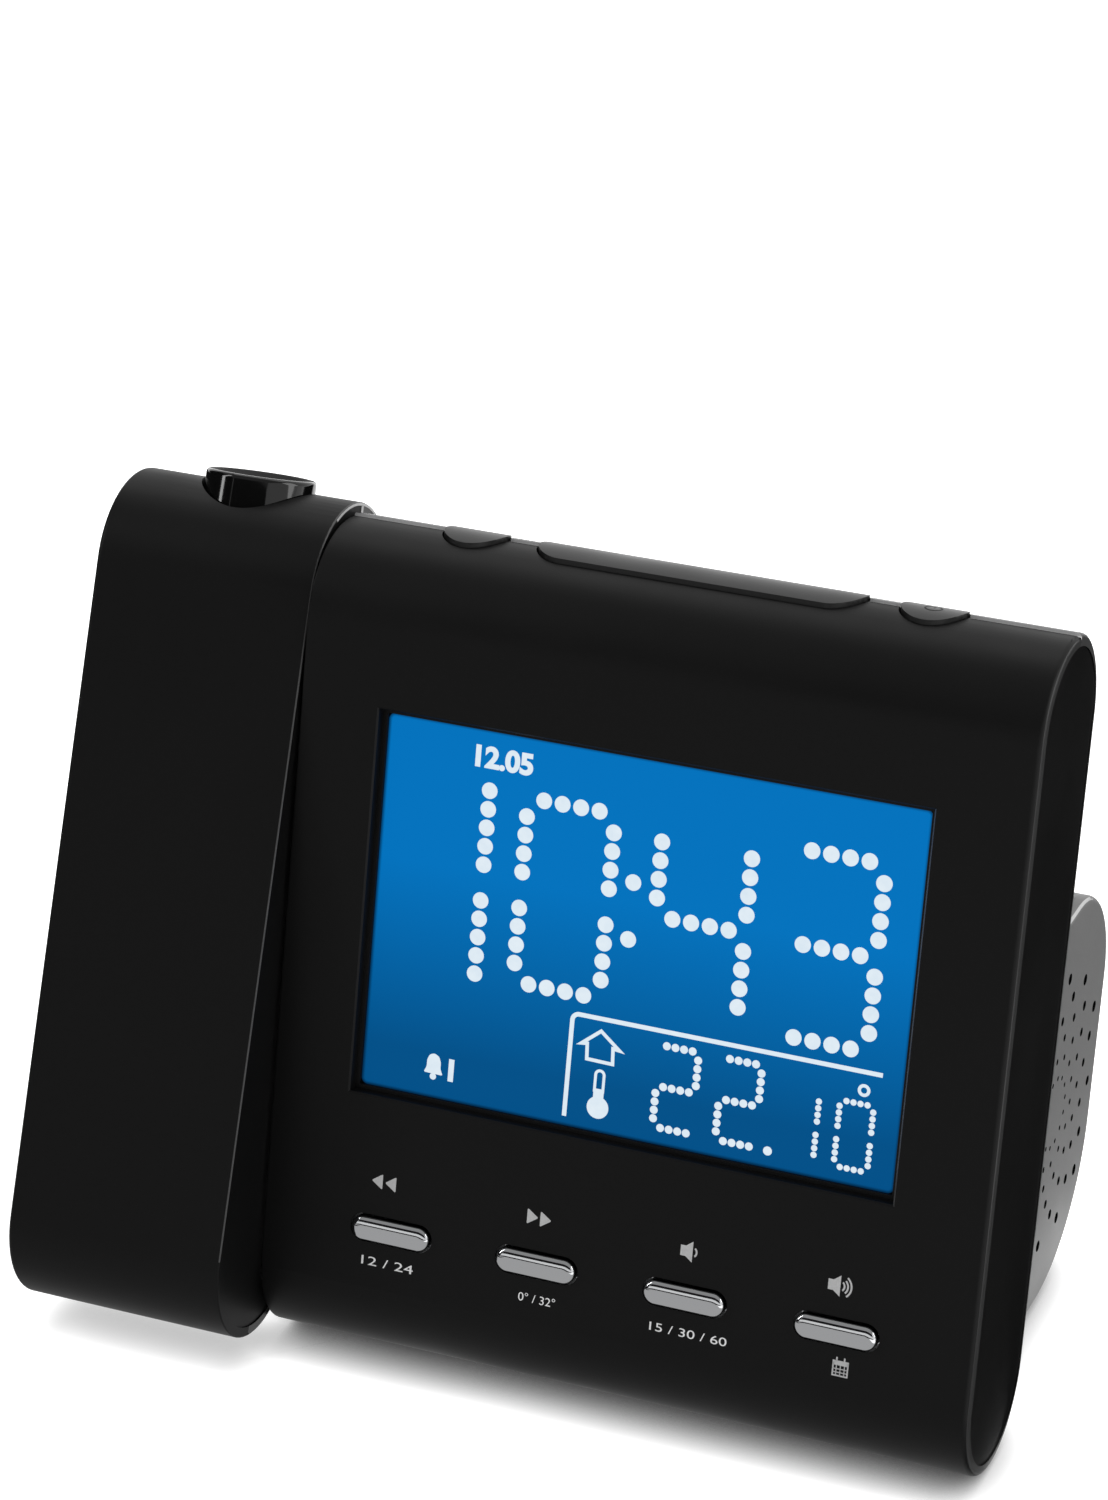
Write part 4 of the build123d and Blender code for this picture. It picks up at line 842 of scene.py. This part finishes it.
# %% Big digits of the time
on_panel = sheet(panel_y - 0.02)
mark_thickness = 0.05
row = [88.2, 84.9, 81.6, 78.3]
low_row = [71.9, 68.6, 65.3, 62.0]
top_z, middle_z, bottom_z = 91.5, 75.1, 58.7
dots = [(-9.8, z) for z in [top_z] + row] + [(-9.8, z) for z in low_row + [bottom_z]]
dots += [(x, z) for x in (-2.6, 13.4) for z in row + low_row]
dots += [(x, z) for x in (0.3, 3.7, 7.1, 10.5) for z in (top_z, bottom_z)]
dots += [(17.7, 80.2), (17.7, 70.1)]
dots += [(22.2, z) for z in row] + [(x, middle_z) for x in (25.3, 28.7, 32.1, 35.5)]
dots += [(38.4, z) for z in row + low_row]
dots += [(x, z) for x in (48.8, 52.2, 55.6, 59.0) for z in (top_z, middle_z, bottom_z)]
dots += [(61.9, z) for z in row + low_row]
time_digits = joined(copies(disc(0, 0, 1.45), dots), "time_digits", on_panel, marks,
                     mark_thickness)
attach(time_digits, "case")
print("dots of the time:", len(dots))

# %% [markdown]
# The temperature stands at the lower right in the same dotted style, with smaller dots that
# touch, and smaller ones still behind the point.

# %% Small digits
def dotted(x, y, along, pitch, count=4):
    """The places of the dots of one segment, centred on x and y."""
    steps = [(i - (count - 1) / 2) * pitch for i in range(count)]
    return [(x + s, y) if along == "x" else (x, y + s) for s in steps]


small = []
for left, middle, right in ((25.15, 28.7, 32.3), (36.65, 40.2, 43.8)):
    small += dotted(middle + 0.1, 52.7, "x", 1.57) + dotted(middle + 0.1, 45.35, "x", 1.57)
    small += dotted(middle + 0.25, 38.0, "x", 1.57)
    small += dotted(right, 49.0, "y", 1.52) + dotted(left, 41.75, "y", 1.52)
tiny = []
for x in (54.4, 58.1, 64.1):
    tiny += dotted(x, 46.65, "y", 1.19) + dotted(x, 40.7, "y", 1.19)
for z in (49.5, 37.75):
    tiny += dotted(61.1, z, "x", 1.25)
pieces = copies(disc(0, 0, 0.72, 16), small) + copies(disc(0, 0, 0.56, 14), tiny)
pieces.append(disc(46.2, 37.9, 0.8, 20))
temperature = joined(pieces, "temperature_digits", on_panel, marks, mark_thickness)
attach(temperature, "case")
print("dots of the temperature:", len(small) + len(tiny))

# %% [markdown]
# Three more flat shapes are enough for all the symbols: a part of a ring, an outline with any
# corners, and plain figures in the font that Blender brings along.

# %% Flat shapes for symbols
def arc(x, y, outer, inner, start, stop, points=64):
    """Part of a flat ring: a circle's rim, extruded inwards and cut to its angles in degrees."""
    bpy.ops.object.select_all(action="DESELECT")
    bpy.ops.mesh.primitive_circle_add(vertices=points, radius=outer * mm, fill_type="NOTHING")
    piece = bpy.context.object
    bpy.ops.object.mode_set(mode="EDIT")
    bpy.ops.mesh.select_all(action="SELECT")
    bpy.ops.mesh.extrude_edges_move()
    bpy.ops.transform.resize(value=(inner / outer,) * 3)
    bpy.ops.object.mode_set(mode="OBJECT")
    for face in piece.data.polygons:
        turn = degrees(atan2(face.center.y, face.center.x)) % 360
        face.select = not start <= turn <= stop
    bpy.ops.object.mode_set(mode="EDIT")
    bpy.ops.mesh.select_mode(type="FACE")
    bpy.ops.mesh.delete(type="FACE")
    bpy.ops.object.mode_set(mode="OBJECT")
    piece.location = (x * mm, y * mm, 0)
    return piece


def outlined(corners, stroke=0.0, round_mm=0.0):
    """A flat polygon with these corners; with a stroke only its outline is kept."""
    bpy.ops.object.select_all(action="DESELECT")
    bpy.ops.mesh.primitive_circle_add(vertices=len(corners), radius=mm, fill_type="NGON")
    piece = bpy.context.object
    for vertex, (x, y) in zip(piece.data.vertices, corners):
        vertex.co = (x * mm, y * mm, 0)
    bpy.ops.object.mode_set(mode="EDIT")
    bpy.ops.mesh.select_all(action="SELECT")
    bpy.ops.mesh.normals_make_consistent(inside=False)
    if round_mm:
        bpy.ops.mesh.bevel(offset=round_mm * mm, segments=4, affect="VERTICES")
    if stroke:
        bpy.ops.mesh.select_mode(type="FACE")
        bpy.ops.mesh.select_all(action="SELECT")
        bpy.ops.mesh.inset(thickness=stroke * mm)
        bpy.ops.mesh.delete(type="FACE")
    bpy.ops.object.mode_set(mode="OBJECT")
    return piece


font_rise = 0.73  # the height of a figure in the built-in font of size 1


def number(text, x, y, height, width=0.0, weight=0.0):
    """Plain figures centred on x and y, made a mesh, and drawn out to a width if one is given."""
    bpy.ops.object.select_all(action="DESELECT")
    bpy.ops.object.text_add(location=(0, 0, 0))
    piece = bpy.context.object
    piece.data.body = text
    piece.data.align_x = "CENTER"
    piece.data.align_y = "CENTER"
    piece.data.offset = weight * mm
    piece.data.size = height * mm / font_rise
    bpy.ops.object.convert(target="MESH")
    piece = bpy.context.object
    spread = [vertex.co.x for vertex in piece.data.vertices]
    rise = [vertex.co.y for vertex in piece.data.vertices]
    middle = Vector(((min(spread) + max(spread)) / 2, (min(rise) + max(rise)) / 2, 0))
    stretch = width * mm / (max(spread) - min(spread)) if width else 1.0
    piece.data.transform(Matrix.Diagonal((stretch, 1, 1, 1)) @ Matrix.Translation(-middle))
    piece.location = (x * mm, y * mm, 0)
    return piece


print("shapes ready")

# %% [markdown]
# A thin line with one rounded corner sets the temperature apart, and beside it are a house and a
# thermometer. A bell with its number stands at the lower left, and the date's figures above the
# time.

# %% Symbols on the display
house = [(14.35, 53.4), (9.95, 49.8), (11.7, 50.0), (11.85, 47.3), (17.25, 47.2), (17.1, 49.95),
         (19.0, 49.75)]
bell = [(-17.8, 39.3), (-17.3, 40.4), (-17.3, 41.6), (-16.9, 42.6), (-16.0, 42.95), (-15.1, 42.5),
        (-14.7, 41.5), (-14.7, 40.3), (-14.2, 39.2)]
symbols = [
    bar(8.9, 45.3, 0.8, 17.4), arc(10.1, 54.0, 1.6, 0.8, 90, 180), bar(37.6, 55.2, 55.0, 0.8),
    outlined(house, 0.62), outlined(bell, 0, 0.3), disc(-16.0, 38.75, 0.6, 16),
    disc(14.9, 39.3, 2.0, 32), bar(14.85, 41.5, 1.9, 2.3), bar(14.04, 43.6, 0.5, 3.2),
    bar(15.6, 43.6, 0.5, 3.2), arc(14.82, 45.15, 1.03, 0.53, 0, 180, 32),
    number("1", -12.7, 40.45, 3.8, 0, 0.25), number("12.05", -7.55, 97.3, 3.7, 10.7, 0.22),
    arc(62.1, 51.95, 1.12, 0.55, 0, 360, 32),
]
display_symbols = joined(symbols, "display_symbols", on_panel, marks, mark_thickness)
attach(display_symbols, "case")
print("symbols on the display:", len(display_symbols.data.polygons), "faces")

# %% [markdown]
# The signs by the keys are pad-printed in light grey: arrows for back and forward, a loudspeaker
# with one and with three waves, and a month sheet. The small figures under three of the keys are
# plain numbers.

# %% Printed symbols on the front
def arrow(x, y, left):
    """A solid arrow head with its corners rounded, 2.1 by 2.9 mm."""
    way = -1 if left else 1
    corners = [(x + 1.1 * way, y), (x - 1.0 * way, y + 1.45), (x - 1.0 * way, y - 1.45)]
    return outlined(corners, round_mm=0.3)


def loudspeaker(x, y, waves):
    """A box and a cone, with waves to the right of it."""
    cone = [(x, y + 0.95), (x + 0.95, y + 0.95), (x + 2.2, y + 1.9), (x + 2.2, y - 1.9),
            (x + 0.95, y - 0.95), (x, y - 0.95)]
    pieces = [outlined(cone)]
    for i in range(waves):
        radius = 1.1 + 0.62 * i
        half = degrees(0.95 / radius + 0.25 * i)
        for start, stop in ((0, half), (360 - half, 360)):
            pieces.append(arc(x + 2.0, y, radius, radius - 0.32, start, stop))
    return pieces


month = [outlined([(62.4, 1.8), (62.4, 4.65), (65.3, 4.65), (65.3, 1.8)], 0.26),
         bar(63.85, 4.1, 2.7, 0.62), bar(63.1, 4.9, 0.28, 0.7), bar(64.5, 4.9, 0.28, 0.7)]
month += [bar(62.4 + 0.73 * i, 2.9, 0.16, 2.0) for i in (1, 2, 3)]
month += [bar(63.85, z, 2.7, 0.16) for z in (2.53, 3.15)]
printed = [arrow(-23.65, 18.67, True), arrow(-21.1, 18.62, True), arrow(5.85, 18.28, False),
           arrow(8.3, 18.2, False)]
printed += loudspeaker(33.35, 18.2, 1) + loudspeaker(60.2, 17.9, 3) + month
figures = [number("12 / 24", -20.6, 3.72, 1.7, 9.9), number("0° / 32°", 7.9, 3.45, 1.6, 6.9),
           number("15 / 30 / 60", 36.1, 3.35, 1.6, 14.2)]
on_front, ink_thickness = sheet(front_y - 0.01), 0.03
front_symbols = joined(printed, "front_symbols", on_front, ink, ink_thickness)
front_figures = joined(figures, "front_figures", on_front, white_ink, ink_thickness)
for piece in (front_symbols, front_figures):
    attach(piece, "case")
print("printed symbols:", len(printed), "figures:", len(figures))

# %% [markdown]
# The arm stands two millimetres higher than the case, so a sliver of its inner end shows above
# the case. A painted highlight runs round it there, with one upright bar of painted highlight
# along the parting of the arm's shells.

# %% Painted highlight on the arm's inner end
arm_axis_z = 118.2
arm_inner_x = -45.39
facing_right = Matrix(((0, 0, 1, 0), (1, 0, 0, 0), (0, 1, 0, 0), (0, 0, 0, 1)))  # x back, y up
arm_end = arm_frame @ Matrix.Translation((arm_inner_x * mm, 0, 0)) @ facing_right
# painted highlight: a near-white thin sheet round the end's edge and an upright bar
painted_round_highlight = arc(0, arm_axis_z, 15.75, 15.3, 8, 126, 180)
painted_upright_highlight = bar(1.2, 125.9, 0.9, 15.0)
painted_arm_end_highlight = joined([painted_round_highlight, painted_upright_highlight], "painted_arm_end_highlight", arm_end, painted_white_highlight_abs, 0.05)
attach(painted_arm_end_highlight, nodes["arm_front_shell"]["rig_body"])
print("arm end highlight", [round(v / mm, 1) for v in painted_arm_end_highlight.dimensions])

# %% [markdown]
# The sign on the power button is drawn flat as well, and then wrapped round the button's crown:
# its y becomes an angle about the slab's upper axis.

# %% Sign on the power button
crown = 16.7 * mm  # the button's radius about the slab's upper axis
above_crown = 0.005 * mm
button_x = 61.55 * mm
sign = [arc(0, 0, 1.6, 1.3, 0, 65, 48), arc(0, 0, 1.6, 1.3, 115, 360, 48), bar(0, 1.1, 0.3, 1.7)]
# the sign is painted shade, laid a hair above the crown where the real sign is sunk
power_sign = joined(sign, "power_sign", in_place, sunk_sign_shade, 0.02)
for vertex in power_sign.data.vertices:
    turn = vertex.co.y / crown
    radius = crown + vertex.co.z + above_crown
    wrapped = (button_x + vertex.co.x, radius * sin(turn), upper_axis_z * mm + radius * cos(turn))
    vertex.co = case_frame @ Vector(wrapped)
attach(power_sign, nodes["power_button"]["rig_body"])
print("power sign", [round(v / mm, 1) for v in power_sign.dimensions])
